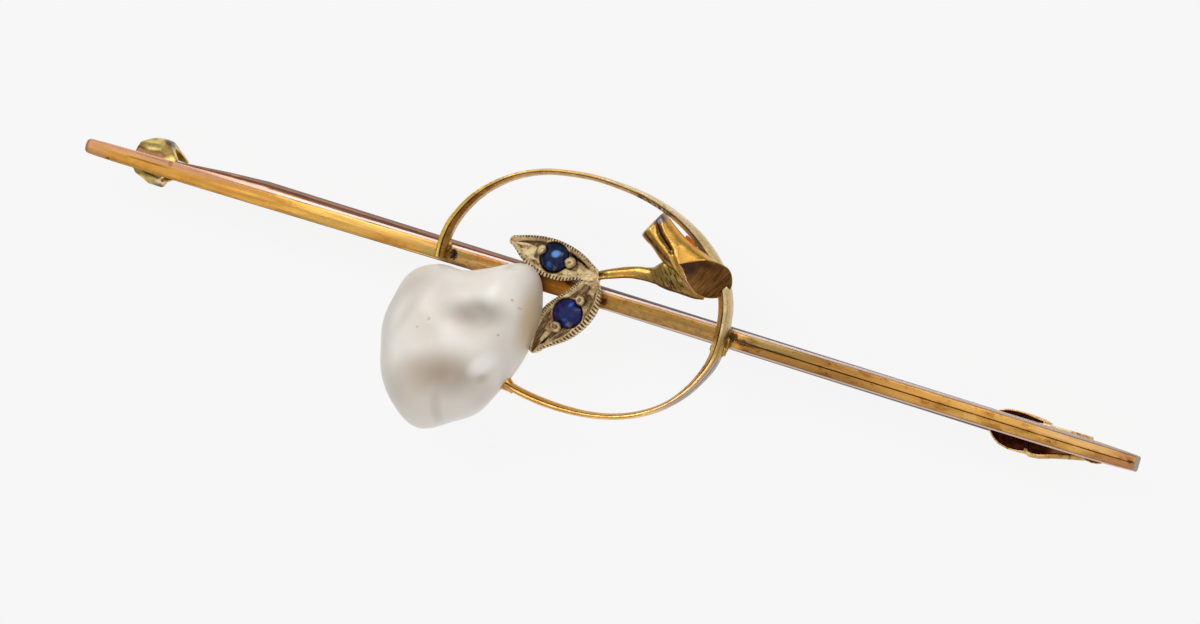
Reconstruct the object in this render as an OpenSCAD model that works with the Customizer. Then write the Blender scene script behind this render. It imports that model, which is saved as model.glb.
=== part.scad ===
// Bar brooch: a slender gold bar with an oval ring, a leafy twig and a baroque pearl.
// It lies on its back. X runs along the bar to the hinge end, Y to the top of the ring
// and Z out of its front. Millimetres.

/* [Bar] */
// Length of the bar
bar_len = 57; // [50:0.5:64]
// Width of the bar at the middle
bar_mid_w = 0.96; // [0.8:0.02:1.2]
// Width of the bar at both ends
bar_end_w = 0.72; // [0.6:0.02:1]
// Thickness of the bar from back to front
bar_t = 1; // [0.8:0.05:1.4]
// How far the hinge end lies below the catch end
bar_drop = 0.2; // [0:0.05:0.4]
// Depth of the line cut along the front of the hinge half
line_deep = 0.07; // [0.03:0.01:0.15]

/* [Oval ring] */
// Outer length of the oval
ring_len = 15.8; // [14:0.1:18]
// Outer height of the oval
ring_h = 12; // [11:0.1:13.5]
// Width of the ring's wire seen from the front
ring_wire = 0.36; // [0.24:0.02:0.5]
// Thickness of the ring's wire from back to front
ring_t = 0.85; // [0.7:0.05:1.2]
// How far the ring is let into the front of the bar
ring_sink = 0.15; // [0.05:0.05:0.3]
// Turn of the oval against the bar, in degrees
ring_turn = -3.6; // [-8:0.2:0]

/* [Pearl] */
// Mean reach of the pearl from its middle
pearl_r = 4.4; // [4.2:0.05:4.6]
// Depth of the pearl from back to front
pearl_deep = 7; // [6.4:0.1:7.6]
// Gap between the pearl and the metal round it
pearl_gap = 0.05; // [0.02:0.01:0.1]
// Thickness of the peg that the pearl is glued on
peg_d = 0.6; // [0.4:0.05:0.8]
// Length of the peg inside the pearl
peg_len = 1.6; // [1:0.1:2.4]

/* [Leaves and stones] */
// Length of the upper leaf
leaf_len = 4.8; // [4.2:0.1:5.2]
// Width of a leaf
leaf_w = 2.1; // [1.9:0.05:2.4]
// Thickness of a leaf under its rim
leaf_t = 0.62; // [0.55:0.01:0.9]
// Width of the raised rim of a leaf
rim_w = 0.16; // [0.1:0.02:0.24]
// Height of the raised rim of a leaf
rim_h = 0.12; // [0.06:0.02:0.2]
// Diameter of a stone
stone_d = 1.46; // [1.2:0.02:1.56]
// Gap between a stone and its seat
stone_gap = 0.02; // [0.01:0.01:0.04]
// Diameter of the beads that hold a stone
bead_d = 0.42; // [0.3:0.02:0.5]

/* [Twig] */
// Length of the log from its stub to its cut face
log_len = 4.5; // [4:0.1:5]
// Thickness of the log
log_d = 1.56; // [1.3:0.02:1.8]
// Length of the stem from the leaves to the log
stem_len = 3.4; // [3:0.1:3.8]
// Thickness of the stem
stem_d = 0.62; // [0.5:0.02:0.8]

/* [Catch] */
// Outer diameter of the hook
hook_d = 2.35; // [2.1:0.05:2.6]
// Thickness of the hook's sheet
hook_t = 0.28; // [0.2:0.02:0.36]
// Length of the hook along the bar
hook_len = 2.3; // [2:0.1:3.2]
// How far the hook and the hinge plate are sunk into the back of the bar
hook_sink = 0.2; // [0.05:0.01:0.25]
// Width of the mouth that lets the pin out
mouth_w = 0.6; // [0.5:0.02:0.8]

/* [Hinge and pin] */
// Diameter of the pin's stem
pin_d = 1.14; // [0.9:0.02:1.3]
// Length of the pin's point
point_len = 4.8; // [4:0.1:6]
// Thickness of the pin's tip
tip_d = 0.14; // [0.1:0.02:0.24]
// Diameter of the eye at the pin's end
eye_d = 1.5; // [1.34:0.02:1.7]
// Diameter of the rivet
rivet_d = 0.6; // [0.4:0.02:0.7]
// Gap all round the rivet in the eye
run_gap = 0.03; // [0.01:0.01:0.05]
// Width across both hinge cheeks
cheeks_w = 2; // [1.8:0.05:2.2]
// Length of the hinge cheeks along the bar
cheeks_len = 2.4; // [2:0.1:2.8]
// Distance from the end of the bar to the rivet
rivet_in = 5.9; // [5.4:0.1:7]

/* [Hidden] */
$fn = 48;

// Heights above the surface that the brooch lies on
pin_z = hook_d / 2;
bar_back = hook_d - hook_sink;
bar_front = bar_back + bar_t;
ring_back = bar_front - ring_sink;
leaf_back = bar_front - 0.05;
log_z = bar_front + log_d * 0.77;
stem_z = leaf_back + leaf_t * 0.7;
pearl_z = pearl_deep / 2;

// Places in the plane of the bar, from the middle of the bar
bar_turn_x = 3;
bar_left_y = 0.1;
ring_at = [-0.7, 0.1];
pearl_at = [-6, -4.1];
stem_at = [-0.1, 1.2];
stem_turn = 24;
log_at = [2, 4.45];
log_turn = -29;

// A leaf: place of its root, turn, share of the length, share along it where its stone sits
leaves = [
    [-0.1, 1.2, 176.5, 1, 0.49],
    [0.04, 1.1, 245.5, 1.06, 0.46],
];
turned = 2;
long = 3;
seat = 4;

// The gold and the stones
bar_gold = "#d39f4b";
leaf_gold = "#d8b56c";
pearl_white = "#e8e2d6";
stone_blue = "#1e3a8c";
pin_grey = "#8a7160";

// The origin is under the middle of the box that holds the whole brooch
box_top = ring_at.y + ring_h / 2 + 0.01;
box_bottom = pearl_at.y - pearl_r * 1.047;
function placed_y() = -(box_top + box_bottom) / 2;
module placed() translate([0, placed_y(), 0]) children();

function bar_y(x) = bar_left_y - bar_drop * max(0, x - bar_turn_x) / (bar_len / 2 - bar_turn_x);

// How far the bar has narrowed from its middle to its end: share of the half length, share of the loss
bar_rows = [
    [-1, 1.3], [-0.985, 0.98], [-0.955, 0.74], [-0.9, 0.4], [-0.6, 0.1], [0, 0], [0.55, -0.15], [0.88, 0],
    [0.96, 0.5], [1, 1],
];
function bar_half(x) = (bar_mid_w - (bar_mid_w - bar_end_w) * lookup(x * 2 / bar_len, bar_rows)) / 2;

// A row of rings of points becomes a solid with a flat cap at each end
function cap_faces(n, m) = [[for (j = [0:m - 1]) j], [for (j = [0:m - 1]) n * m - 1 - j]];
function side_faces(n, m) = [
    for (i = [0:n - 2], j = [0:m - 1])
        let (a = i * m + j, b = i * m + (j + 1) % m)
            each [[a, a + m, b + m], [a, b + m, b]]
];
function tube_faces(n, m) = concat(cap_faces(n, m), side_faces(n, m));

// A row of a branch: share along it, share sideways, share of its thickness, lean of its face
along = 0;
aside = 1;
thick = 2;
lean = 3;
module branch(rows, len, d, m, face = []) {
    last = len(rows) - 1;
    centre = [for (r = rows) [r[along] * len, r[aside] * len]];
    points = [
        for (i = [0:last])
            let (
                step = centre[min(i + 1, last)] - centre[max(i - 1, 0)],
                turn = atan2(step.y, step.x),
                r = rows[i][thick] * d / 2,
                slant = rows[i][lean] * d
            )
                for (j = [0:m - 1])
                    let (t = 360 * j / m, side = -r * cos(t), rise = r * sin(t), on = -slant * sin(t))
                        [
                            centre[i].x + side * sin(turn) + on * cos(turn),
                            centre[i].y - side * cos(turn) + on * sin(turn),
                            rise
                        ]
    ];
    n = last + 1 + len(face) / m;
    polyhedron(concat(points, face), tube_faces(n, m), convexity = 6);
}

log_rows = [
    [0.01, 0.012, 1.02, -0.12],
    [0.18, 0.002, 0.98, 0.06],
    [0.34, -0.01, 0.98, 0.04],
    [0.46, -0.01, 1, 0.1],
];
// The cut face falls away from the corner where the log's ridge meets it: shares along and aside, all round it
face_top = 0.545;
face_fall = 1.8;
log_face = [
    [0.765, 0.526], [0.715, 0.38], [0.671, 0.208], [0.623, -0.001], [0.578, -0.234], [0.628, -0.271], [0.677, -0.346], [0.725, -0.409],
    [0.762, -0.475], [0.902, -0.558], [1.024, -0.408], [1.118, -0.067], [1.127, 0.314], [1.07, 0.582], [0.979, 0.745], [0.88, 0.697],
];
stem_rows = [
    [-0.06, -0.02, 0.66, 0],
    [0.14, 0.01, 0.8, 0],
    [0.34, 0.02, 0.94, 0],
    [0.56, 0, 1.1, 0],
    [0.78, -0.04, 1.5, 0],
    [1.02, -0.1, 2.1, 0],
    [1.22, -0.2, 2, 0],
    [1.45, -0.31, 1.9, 0],
];

module bar() color(bar_gold) difference() {
    half = bar_len / 2;
    n = len(bar_rows) - 1;
    top = [for (i = [0:n]) let (x = bar_rows[i][0] * half) [x, bar_y(x) + bar_half(x)]];
    low = [for (i = [n:-1:0]) let (x = bar_rows[i][0] * half) [x, bar_y(x) - bar_half(x)]];
    translate([0, 0, bar_back]) linear_extrude(bar_t) polygon(concat(top, low));
    line_from = ring_at.x + ring_len / 2 + 0.5;
    line_len = half - line_from - 0.4;
    line_turn = atan2(bar_y(half) - bar_y(line_from), half - line_from);
    translate([line_from, bar_y(line_from), bar_front]) rotate([0, 0, line_turn]) rotate([45, 0, 0])
        translate([0, -line_deep / sqrt(2), -line_deep / sqrt(2)])
            cube([line_len, line_deep * sqrt(2), line_deep * sqrt(2)]);
}

// The ring was bent and filed by hand: angle, shift outwards, width as a share of the wire's
ring_from = -105;
ring_to = 188;
ring_steps = 66;
ring_rows = [
    [-105, 0, 1.1], [-90, 0.01, 1.16], [-80, 0.05, 1.06], [-70, 0.12, 0.95], [-60, 0.18, 0.86], [-50, 0.2, 0.83],
    [-40, 0.17, 0.84], [-30, 0.08, 1], [-20, -0.01, 1.25], [-10, -0.09, 1.5], [0, -0.16, 1.75], [10, -0.15, 1.85],
    [25, -0.03, 1.95], [40, -0.03, 2], [60, -0.08, 1.75], [75, -0.06, 1.3], [90, -0.07, 0.97], [100, -0.03, 0.85],
    [110, 0.02, 0.78], [120, 0.11, 0.75], [130, 0.14, 0.75], [140, 0.12, 0.86], [150, 0.08, 1.03], [160, 0.02, 1.17],
    [170, -0.01, 1.33], [188, -0.09, 1.33],
];
ring_shifts = [for (r = ring_rows) [r[0], r[1]]];
ring_widths = [for (r = ring_rows) [r[0], r[2]]];
function wire_w(t) = ring_wire * lookup(t, ring_widths);
// The wire's section leans inwards along its inner side
wire_rows = [[-0.5, 0], [0.5, 0], [0.5, 0.8], [0.36, 1], [-0.08, 1], [-0.5, 0.62]];
function ring_out(t) = let (v = [cos(t) / ring_len, sin(t) / ring_h]) v / norm(v);
function ring_middle(t) =
    [(ring_len - ring_wire) / 2 * cos(t), (ring_h - ring_wire) / 2 * sin(t)] + lookup(t, ring_shifts) * ring_out(t);
module ring_solid(grow) {
    m = len(wire_rows);
    points = [
        for (i = [0:ring_steps])
            let (
                t = ring_to + (ring_from - ring_to) * i / ring_steps,
                wide = wire_w(t), c = ring_middle(t), o = ring_out(t)
            )
                for (w = wire_rows)
                    let (side = w[0] * (wide + 2 * grow), up = w[1] * (ring_t + 2 * grow) - grow)
                        [c.x + o.x * side, c.y + o.y * side, up]
    ];
    translate([ring_at.x, ring_at.y, ring_back]) rotate([0, 0, ring_turn])
        polyhedron(points, tube_faces(ring_steps + 1, m), convexity = 6);
}
module oval_ring() color(bar_gold) ring_solid(0);

// The peg leaves the lower end of the ring and goes into the pearl
peg_turn = 160;
module peg_solid(grow) {
    end = ring_middle(ring_from);
    translate([ring_at.x, ring_at.y, ring_back + ring_t / 2]) rotate([0, 0, ring_turn])
        translate([end.x, end.y, 0]) rotate([0, 90, peg_turn]) {
            cylinder(d = peg_d + 2 * grow, h = peg_len + grow);
            translate([0, 0, -peg_d / 2]) cylinder(d1 = ring_wire, d2 = peg_d * 1.35 + 2 * grow, h = peg_d + grow);
        }
}
module pearl_peg() color(bar_gold) peg_solid(0);

module lens(length, width) {
    arc_r = (length * length + width * width) / (4 * width);
    translate([length / 2, 0]) intersection() {
        translate([0, arc_r - width / 2]) circle(r = arc_r, $fn = 96);
        translate([0, width / 2 - arc_r]) circle(r = arc_r, $fn = 96);
    }
}

module leaf_place(leaf) translate([leaf.x, leaf.y, leaf_back]) rotate([0, 0, leaf[turned]]) children();

// A leaf is a plate with a raised rim, a drilled seat for its stone and two beads
module leaf_setting(leaf) color(leaf_gold) leaf_place(leaf) {
    tip_in = rim_w * 2.4;
    length = leaf_len * leaf[long];
    stone_x = length * leaf[seat];
    difference() {
        union() {
            linear_extrude(leaf_t) lens(length, leaf_w);
            linear_extrude(leaf_t + rim_h) difference() {
                lens(length, leaf_w);
                translate([tip_in, 0]) lens(length - 2 * tip_in, leaf_w - 2 * rim_w);
            }
        }
        translate([stone_x, 0, leaf_t * 0.2]) cylinder(d = stone_d + 2 * stone_gap, h = leaf_t + rim_h);
    }
    for (s = [-1, 1])
        translate([stone_x + s * (stone_d / 2 + bead_d / 2 + 2 * stone_gap), 0, leaf_t])
            sphere(d = bead_d, $fn = 16);
}

// A round stone: a table, a crown and a pavilion with ten sides each
module stone(leaf) color(stone_blue) leaf_place(leaf)
    translate([leaf_len * leaf[long] * leaf[seat], 0, leaf_t * 0.82]) {
    sides = 10;
    girdle_h = stone_d * 0.06;
    pavilion_h = min(stone_d * 0.34, leaf_t * 0.58);
    cylinder(d = stone_d, h = girdle_h, $fn = sides);
    translate([0, 0, girdle_h]) cylinder(d1 = stone_d, d2 = stone_d * 0.56, h = stone_d * 0.16, $fn = sides);
    translate([0, 0, -pavilion_h]) cylinder(d1 = stone_d * 0.1, d2 = stone_d, h = pavilion_h, $fn = sides);
}

module twig() color(bar_gold) {
    face = [
        for (f = log_face) [f.x * log_len, f.y * log_d, (face_top - face_fall * (f.x - log_face[4].x)) * log_d]
    ];
    translate([log_at.x, log_at.y, log_z]) rotate([0, 0, log_turn]) branch(log_rows, log_len, log_d, 16, face);
    translate([stem_at.x, stem_at.y, stem_z]) rotate([0, 0, stem_turn]) branch(stem_rows, stem_len, stem_d, 10);
}

// The hook is rolled from sheet; its plan is cut by hand: share of its length, share of its diameter
hook_from = -bar_len / 2 + 2.48;
hook_y = 0.27;
mouth_y = 0.24;
hook_rows = [
    [0, 0.18], [0.02, 0.34], [0.14, 0.43], [0.29, 0.52], [0.52, 0.6], [0.63, 0.49], [0.72, 0.4], [0.86, 0.3],
    [0.98, 0.2], [0.98, -0.1], [0.64, -0.36], [0.66, -0.6], [0.5, -0.6], [0.37, -0.5], [0.29, -0.43], [0.09, -0.35],
    [0, -0.2],
];
module catch_hook() color(bar_gold) translate([hook_from, hook_y, 0]) intersection() {
    translate([0, 0, pin_z]) rotate([90, 0, 90]) linear_extrude(hook_len) difference() {
        circle(d = hook_d);
        circle(d = hook_d - 2 * hook_t);
        translate([mouth_y - mouth_w / 2, -hook_d]) square([mouth_w, hook_d]);
    }
    translate([0, 0, -1]) linear_extrude(hook_d + 2)
        polygon([for (r = hook_rows) [r[0] * hook_len, r[1] * hook_d]]);
}

// The hinge: a plate under the bar with two cheeks that hold the rivet
hinge_x = bar_len / 2 - rivet_in;
hinge_y = -0.1;
side_gap = 0.05;
cheek_in = pin_d / 2 + side_gap;
cheeks_y = -0.14;
plate_t = 0.24;
rivet_fit = 0.01;
module hinge_plate() color(bar_gold) translate([hinge_x, hinge_y, 0]) {
    end = rivet_in * 0.65;
    translate([0, 0, bar_back - plate_t + 0.05]) linear_extrude(plate_t) polygon([
        [-cheeks_len * 0.42, -cheeks_w * 0.3], [0.1, -cheeks_w * 0.48], [0.5, -cheeks_w * 0.63],
        [0.9, -cheeks_w * 0.63], [1.5, -cheeks_w * 0.54], [end - 0.54, -cheeks_w * 0.32], [end, -cheeks_w * 0.31],
        [end + 0.34, -cheeks_w * 0.24], [end + 0.34, 0.3], [end - 0.4, 0.58], [1.37, 0.58],
        [0.9, cheeks_w * 0.36], [-cheeks_len * 0.42, cheeks_w * 0.3],
    ]);
    intersection() {
        translate([0, cheeks_w, pin_z]) rotate([90, 0, 0]) linear_extrude(2 * cheeks_w) difference() {
            union() {
                circle(r = pin_z);
                translate([-cheeks_len / 2, 0]) square([cheeks_len, bar_back - pin_z - plate_t / 2]);
            }
            circle(d = rivet_d + 2 * rivet_fit);
        }
        difference() {
            translate([-cheeks_len * 0.8, cheeks_y, 0])
                linear_extrude(bar_back) lens(cheeks_len * 1.6, cheeks_w);
            translate([-cheeks_len, -cheek_in, -1]) cube([2 * cheeks_len, 2 * cheek_in, bar_back - plate_t + 1]);
        }
    }
}

module frame() placed() {
    bar();
    oval_ring();
    pearl_peg();
    twig();
    for (leaf = leaves) leaf_setting(leaf);
    catch_hook();
    hinge_plate();
}

// The pearl's outline and rim: a row every 20 degrees, share of its reach and share of its rise
reach = 0;
rise = 1;
pearl_rows = [
    [0.785, 0.1], [0.895, 0.13], [1.1, 0.18], [1.245, 0.2], [0.95, 0.18], [0.83, 0.14],
    [0.93, 0.1], [0.985, 0.07], [0.93, 0.03], [0.925, 0], [0.915, 0], [0.98, 0],
    [1.045, 0], [1.095, 0], [0.925, 0], [0.84, 0], [0.74, 0.02], [0.73, 0.06],
];
function pearl_row(i, c) = pearl_rows[(i + 18) % 18][c];
function pearl_share(t, c) =
    let (
        i = floor(t / 20), f = t / 20 - i,
        p0 = pearl_row(i - 1, c), p1 = pearl_row(i, c), p2 = pearl_row(i + 1, c), p3 = pearl_row(i + 2, c)
    )
        p1 + 0.5 * f * (p2 - p0 + f * (2 * p0 - 5 * p1 + 4 * p2 - p3 + f * (3 * (p1 - p2) + p3 - p0)));

// Hollows and swellings of the front: place, size and depth as shares of the reach
pearl_dents = [
    [0.1, 0.5, 0.3, -0.11],
    [0.02, 0.86, 0.2, -0.1],
    [-0.2, -0.16, 0.24, -0.06],
    [-0.28, -0.5, 0.2, -0.05],
    [0.42, -0.3, 0.26, 0.05],
];
function pearl_dent(p) = pearl_r * ([
    for (d = pearl_dents)
        let (away = norm([p.x / pearl_r - d[0], p.y / pearl_r - d[1]]) / d[2]) d[3] * exp(-away * away)
] * [for (d = pearl_dents) 1]);
function pearl_point(t, lift) =
    let (
        out = pearl_share(t, reach) * pearl_r * cos(lift),
        x = out * cos(t), y = out * sin(t),
        rim = pearl_share(t, rise) * pearl_r * cos(lift) * cos(lift),
        dent = max(0, sin(lift)) * pearl_dent([x, y])
    )
        [x, y, rim + sin(lift) * pearl_deep / 2 + dent];
module pearl_body() {
    around = 40;
    bands = 18;
    grid = [
        for (k = [1:bands - 1], j = [0:around - 1]) pearl_point(360 * j / around, -90 + 180 * k / bands)
    ];
    n = len(grid);
    points = concat(grid, [pearl_point(0, -90), pearl_point(0, 90)]);
    back = [for (j = [0:around - 1]) [n, j, (j + 1) % around]];
    front = [for (j = [0:around - 1]) [n + 1, n - around + (j + 1) % around, n - around + j]];
    sides = [for (f = side_faces(bands - 1, around)) f];
    translate([pearl_at.x, pearl_at.y, pearl_z]) polyhedron(points, concat(back, front, sides), convexity = 4);
}

// The back of the pearl is cut away where the bar and the pin pass behind it
module saddle() {
    bar_low = bar_y(pearl_at.x) - bar_half(pearl_at.x);
    round_r = bar_t + 0.2;
    axis_y = bar_low - pearl_gap + round_r * 0.55;
    translate([pearl_at.x - pearl_r * 1.5, axis_y, bar_back + 0.15])
        rotate([0, 90, 0]) cylinder(r = round_r, h = pearl_r * 3);
    translate([pearl_at.x - pearl_r * 1.5, axis_y - round_r, -1])
        cube([pearl_r * 3, round_r * 3, bar_back + 1.15]);
}

module pearl() color(pearl_white) placed() difference() {
    pearl_body();
    saddle();
    ring_solid(pearl_gap);
    peg_solid(pearl_gap);
}

module sapphire_upper() placed() stone(leaves[0]);
module sapphire_lower() placed() stone(leaves[1]);

// The pin runs from its eye to its point in the mouth of the hook
tip_in_hook = 0.55;
point_at = [hook_from + hook_len * (1 - tip_in_hook), hook_y + mouth_y];
pin_run = norm([hinge_x, hinge_y] - point_at);
pin_turn = atan2(point_at.y - hinge_y, point_at.x - hinge_x);
neck_d = tip_d * 2.4;
module pin_stem() color(pin_grey) placed() translate([hinge_x, hinge_y, pin_z]) difference() {
    union() {
        rotate([0, 0, pin_turn]) rotate([0, 90, 0]) {
            cylinder(d = pin_d, h = pin_run - point_len - hook_len * tip_in_hook);
            translate([0, 0, pin_run - point_len - hook_len * tip_in_hook])
                cylinder(d1 = pin_d, d2 = neck_d, h = point_len);
            translate([0, 0, pin_run - hook_len * tip_in_hook])
                cylinder(d1 = neck_d, d2 = tip_d, h = hook_len * tip_in_hook);
        }
        rotate([90, 0, 0]) translate([0, 0, -pin_d / 2]) cylinder(d = eye_d, h = pin_d);
    }
    rotate([90, 0, 0]) translate([0, 0, -pin_d]) cylinder(d = rivet_d + 2 * run_gap, h = 2 * pin_d);
}

// The rivet is filed flush with the cheeks
module hinge_rivet() color(leaf_gold) placed()
    translate([hinge_x, hinge_y + cheeks_y + cheeks_w / 2 - 0.02, pin_z]) rotate([90, 0, 0])
        cylinder(d = rivet_d, h = cheeks_w - 0.04);

frame();
pearl();
sapphire_upper();
sapphire_lower();
pin_stem();
hinge_rivet();
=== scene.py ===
import bpy
import bmesh
import math
from mathutils import Matrix, Vector, noise


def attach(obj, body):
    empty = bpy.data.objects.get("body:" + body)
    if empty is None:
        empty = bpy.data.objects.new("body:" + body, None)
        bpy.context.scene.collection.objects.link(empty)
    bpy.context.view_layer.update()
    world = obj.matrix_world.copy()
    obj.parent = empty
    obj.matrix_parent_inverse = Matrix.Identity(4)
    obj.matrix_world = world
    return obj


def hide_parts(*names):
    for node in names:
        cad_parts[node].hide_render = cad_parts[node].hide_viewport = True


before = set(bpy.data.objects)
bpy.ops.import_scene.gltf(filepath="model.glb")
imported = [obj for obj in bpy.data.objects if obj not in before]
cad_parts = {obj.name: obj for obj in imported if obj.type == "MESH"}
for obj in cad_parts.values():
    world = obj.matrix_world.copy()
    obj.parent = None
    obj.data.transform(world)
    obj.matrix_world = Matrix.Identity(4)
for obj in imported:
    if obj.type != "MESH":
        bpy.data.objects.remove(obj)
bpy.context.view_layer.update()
print("frame loaded")

mm = 0.001
midY = 1.2984  # the middle of the brooch's box is this far below the middle of its bar
toPlace = Matrix.Scale(mm, 4) @ Matrix.Translation((0, midY, 0))


def tone(r, g, b):
    # a colour as a picture editor shows it, made linear
    def lin(c):
        c /= 255
        return c / 12.92 if c <= 0.04045 else ((c + 0.055) / 1.055) ** 2.4
    return (lin(r), lin(g), lin(b), 1)


def ease(a, b, x):
    t = min(1, max(0, (x - a) / (b - a)))
    return t * t * (3 - 2 * t)


def onLine(rows, x, col=1):
    # the value at x on a soft line through given rows
    if x <= rows[0][0]:
        return rows[0][col]
    if x >= rows[-1][0]:
        return rows[-1][col]
    i = max(k for k in range(len(rows) - 1) if rows[k][0] <= x)
    x0, x1 = rows[i][0], rows[i + 1][0]
    y0, y1 = rows[i][col], rows[i + 1][col]
    before = rows[max(0, i - 1)]
    after = rows[min(len(rows) - 1, i + 2)]
    m0 = (y1 - before[col]) / (x1 - before[0])
    m1 = (after[col] - y0) / (after[0] - x0)
    w, t = x1 - x0, (x - x0) / (x1 - x0)
    return ((2 * t**3 - 3 * t**2 + 1) * y0 + (t**3 - 2 * t**2 + t) * w * m0
            + (3 * t**2 - 2 * t**3) * y1 + (t**3 - t**2) * w * m1)


def aroundLine(values, k):
    # the value at k on a soft closed line through given values
    i = math.floor(k)
    f = k - i
    p0, p1, p2, p3 = (values[(i + n) % len(values)] for n in (-1, 0, 1, 2))
    return p1 + 0.5 * f * (p2 - p0 + f * (2 * p0 - 5 * p1 + 4 * p2 - p3 + f * (3 * (p1 - p2) + p3 - p0)))


def turned(x, y, degrees, at=(0, 0)):
    a = math.radians(degrees)
    return (at[0] + x * math.cos(a) - y * math.sin(a), at[1] + x * math.sin(a) + y * math.cos(a))


# camera and light


cameraSet = {
    "target": (0.4627, -0.5462 + midY, 3.0932),
    "tilt": 13,
    "roll": 16.7254,
    "away": 200,
    "lens": 118.816,
}


def addCamera(s):
    tilt, roll = math.radians(s["tilt"]), math.radians(s["roll"])
    back = Vector((math.sin(tilt), 0, math.cos(tilt)))
    flat = Vector((math.cos(tilt), 0, -math.sin(tilt)))
    up = Vector((0, 1, 0))
    right = flat * math.cos(roll) + up * math.sin(roll)
    top = up * math.cos(roll) - flat * math.sin(roll)
    place = (Vector(s["target"]) + back * s["away"]) * mm
    data = bpy.data.cameras.new("camera")
    data.lens = s["lens"]
    data.sensor_width = 36
    data.clip_start, data.clip_end = 0.01, 5
    cam = bpy.data.objects.new("camera", data)
    bpy.context.scene.collection.objects.link(cam)
    turn = Matrix((right, top, back)).transposed().to_4x4()
    cam.matrix_world = Matrix.Translation(place) @ turn
    bpy.context.scene.camera = cam


addCamera(cameraSet)
bpy.context.scene.view_settings.view_transform = "Standard"

lightSet = {
    "sky": [(0.0, 0.55), (0.46, 0.5), (0.56, 0.3), (0.74, 0.55), (1.0, 0.95)],
    "skyPower": 0.72,
    "lamps": [
        # place in mm, size, watts
        ((-160, 130, 260), 200, 0.42),
        ((140, 160, 200), 120, 0.12),
        ((40, -220, 150), 90, 0.08),
    ],
    "floor": 0.935,
    "floorSoft": 0.05,
    "floorHalf": 900,
    "floorDown": 0.02,
}


def addSky(s):
    world = bpy.data.worlds.new("studio")
    bpy.context.scene.world = world
    world.use_nodes = True
    tree = world.node_tree
    coords = tree.nodes.new("ShaderNodeTexCoord")
    split = tree.nodes.new("ShaderNodeSeparateXYZ")
    half = tree.nodes.new("ShaderNodeMath")
    half.operation = "MULTIPLY_ADD"
    half.inputs[1].default_value = 0.5
    half.inputs[2].default_value = 0.5
    shades = tree.nodes.new("ShaderNodeValToRGB")
    stops = shades.color_ramp.elements
    while len(stops) < len(s["sky"]):
        stops.new(0.5)
    for stop, (at, v) in zip(stops, s["sky"]):
        stop.position = at
        stop.color = (v, v, v, 1)
    back = tree.nodes["Background"]
    back.inputs["Strength"].default_value = s["skyPower"]
    tree.links.new(coords.outputs["Generated"], split.inputs[0])
    tree.links.new(split.outputs["Z"], half.inputs[0])
    tree.links.new(half.outputs[0], shades.inputs[0])
    tree.links.new(shades.outputs[0], back.inputs["Color"])


def addLamps(s):
    for i, (place, size, watts) in enumerate(s["lamps"]):
        data = bpy.data.lights.new(f"lamp{i}", "AREA")
        data.size = size * mm
        data.energy = watts
        lamp = bpy.data.objects.new(f"lamp{i}", data)
        bpy.context.scene.collection.objects.link(lamp)
        at = Vector(place) * mm
        lamp.matrix_world = Matrix.Translation(at) @ at.to_track_quat("Z", "Y").to_matrix().to_4x4()


def addFloor(s):
    bm = bmesh.new()
    bmesh.ops.create_grid(bm, x_segments=1, y_segments=1, size=s["floorHalf"] * mm)
    bmesh.ops.translate(bm, vec=(0, 0, -s["floorDown"] * mm), verts=bm.verts)
    mesh = bpy.data.meshes.new("floor")
    bm.to_mesh(mesh)
    bm.free()
    mat = bpy.data.materials.new("paleFloor")
    mat.use_nodes = True
    tree = mat.node_tree
    tree.nodes.clear()
    out = tree.nodes.new("ShaderNodeOutputMaterial")
    mixed = tree.nodes.new("ShaderNodeMixShader")
    mixed.inputs[0].default_value = s["floorSoft"]
    glow = tree.nodes.new("ShaderNodeEmission")
    glow.inputs[0].default_value = (s["floor"],) * 3 + (1,)
    soft = tree.nodes.new("ShaderNodeBsdfDiffuse")
    soft.inputs[0].default_value = (0.9, 0.9, 0.9, 1)
    tree.links.new(glow.outputs[0], mixed.inputs[1])
    tree.links.new(soft.outputs[0], mixed.inputs[2])
    tree.links.new(mixed.outputs[0], out.inputs[0])
    mesh.materials.append(mat)
    floor = bpy.data.objects.new("floor", mesh)
    bpy.context.scene.collection.objects.link(floor)


addSky(lightSet)
addLamps(lightSet)
addFloor(lightSet)
print("camera, light and floor ready")


# finishes


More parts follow.
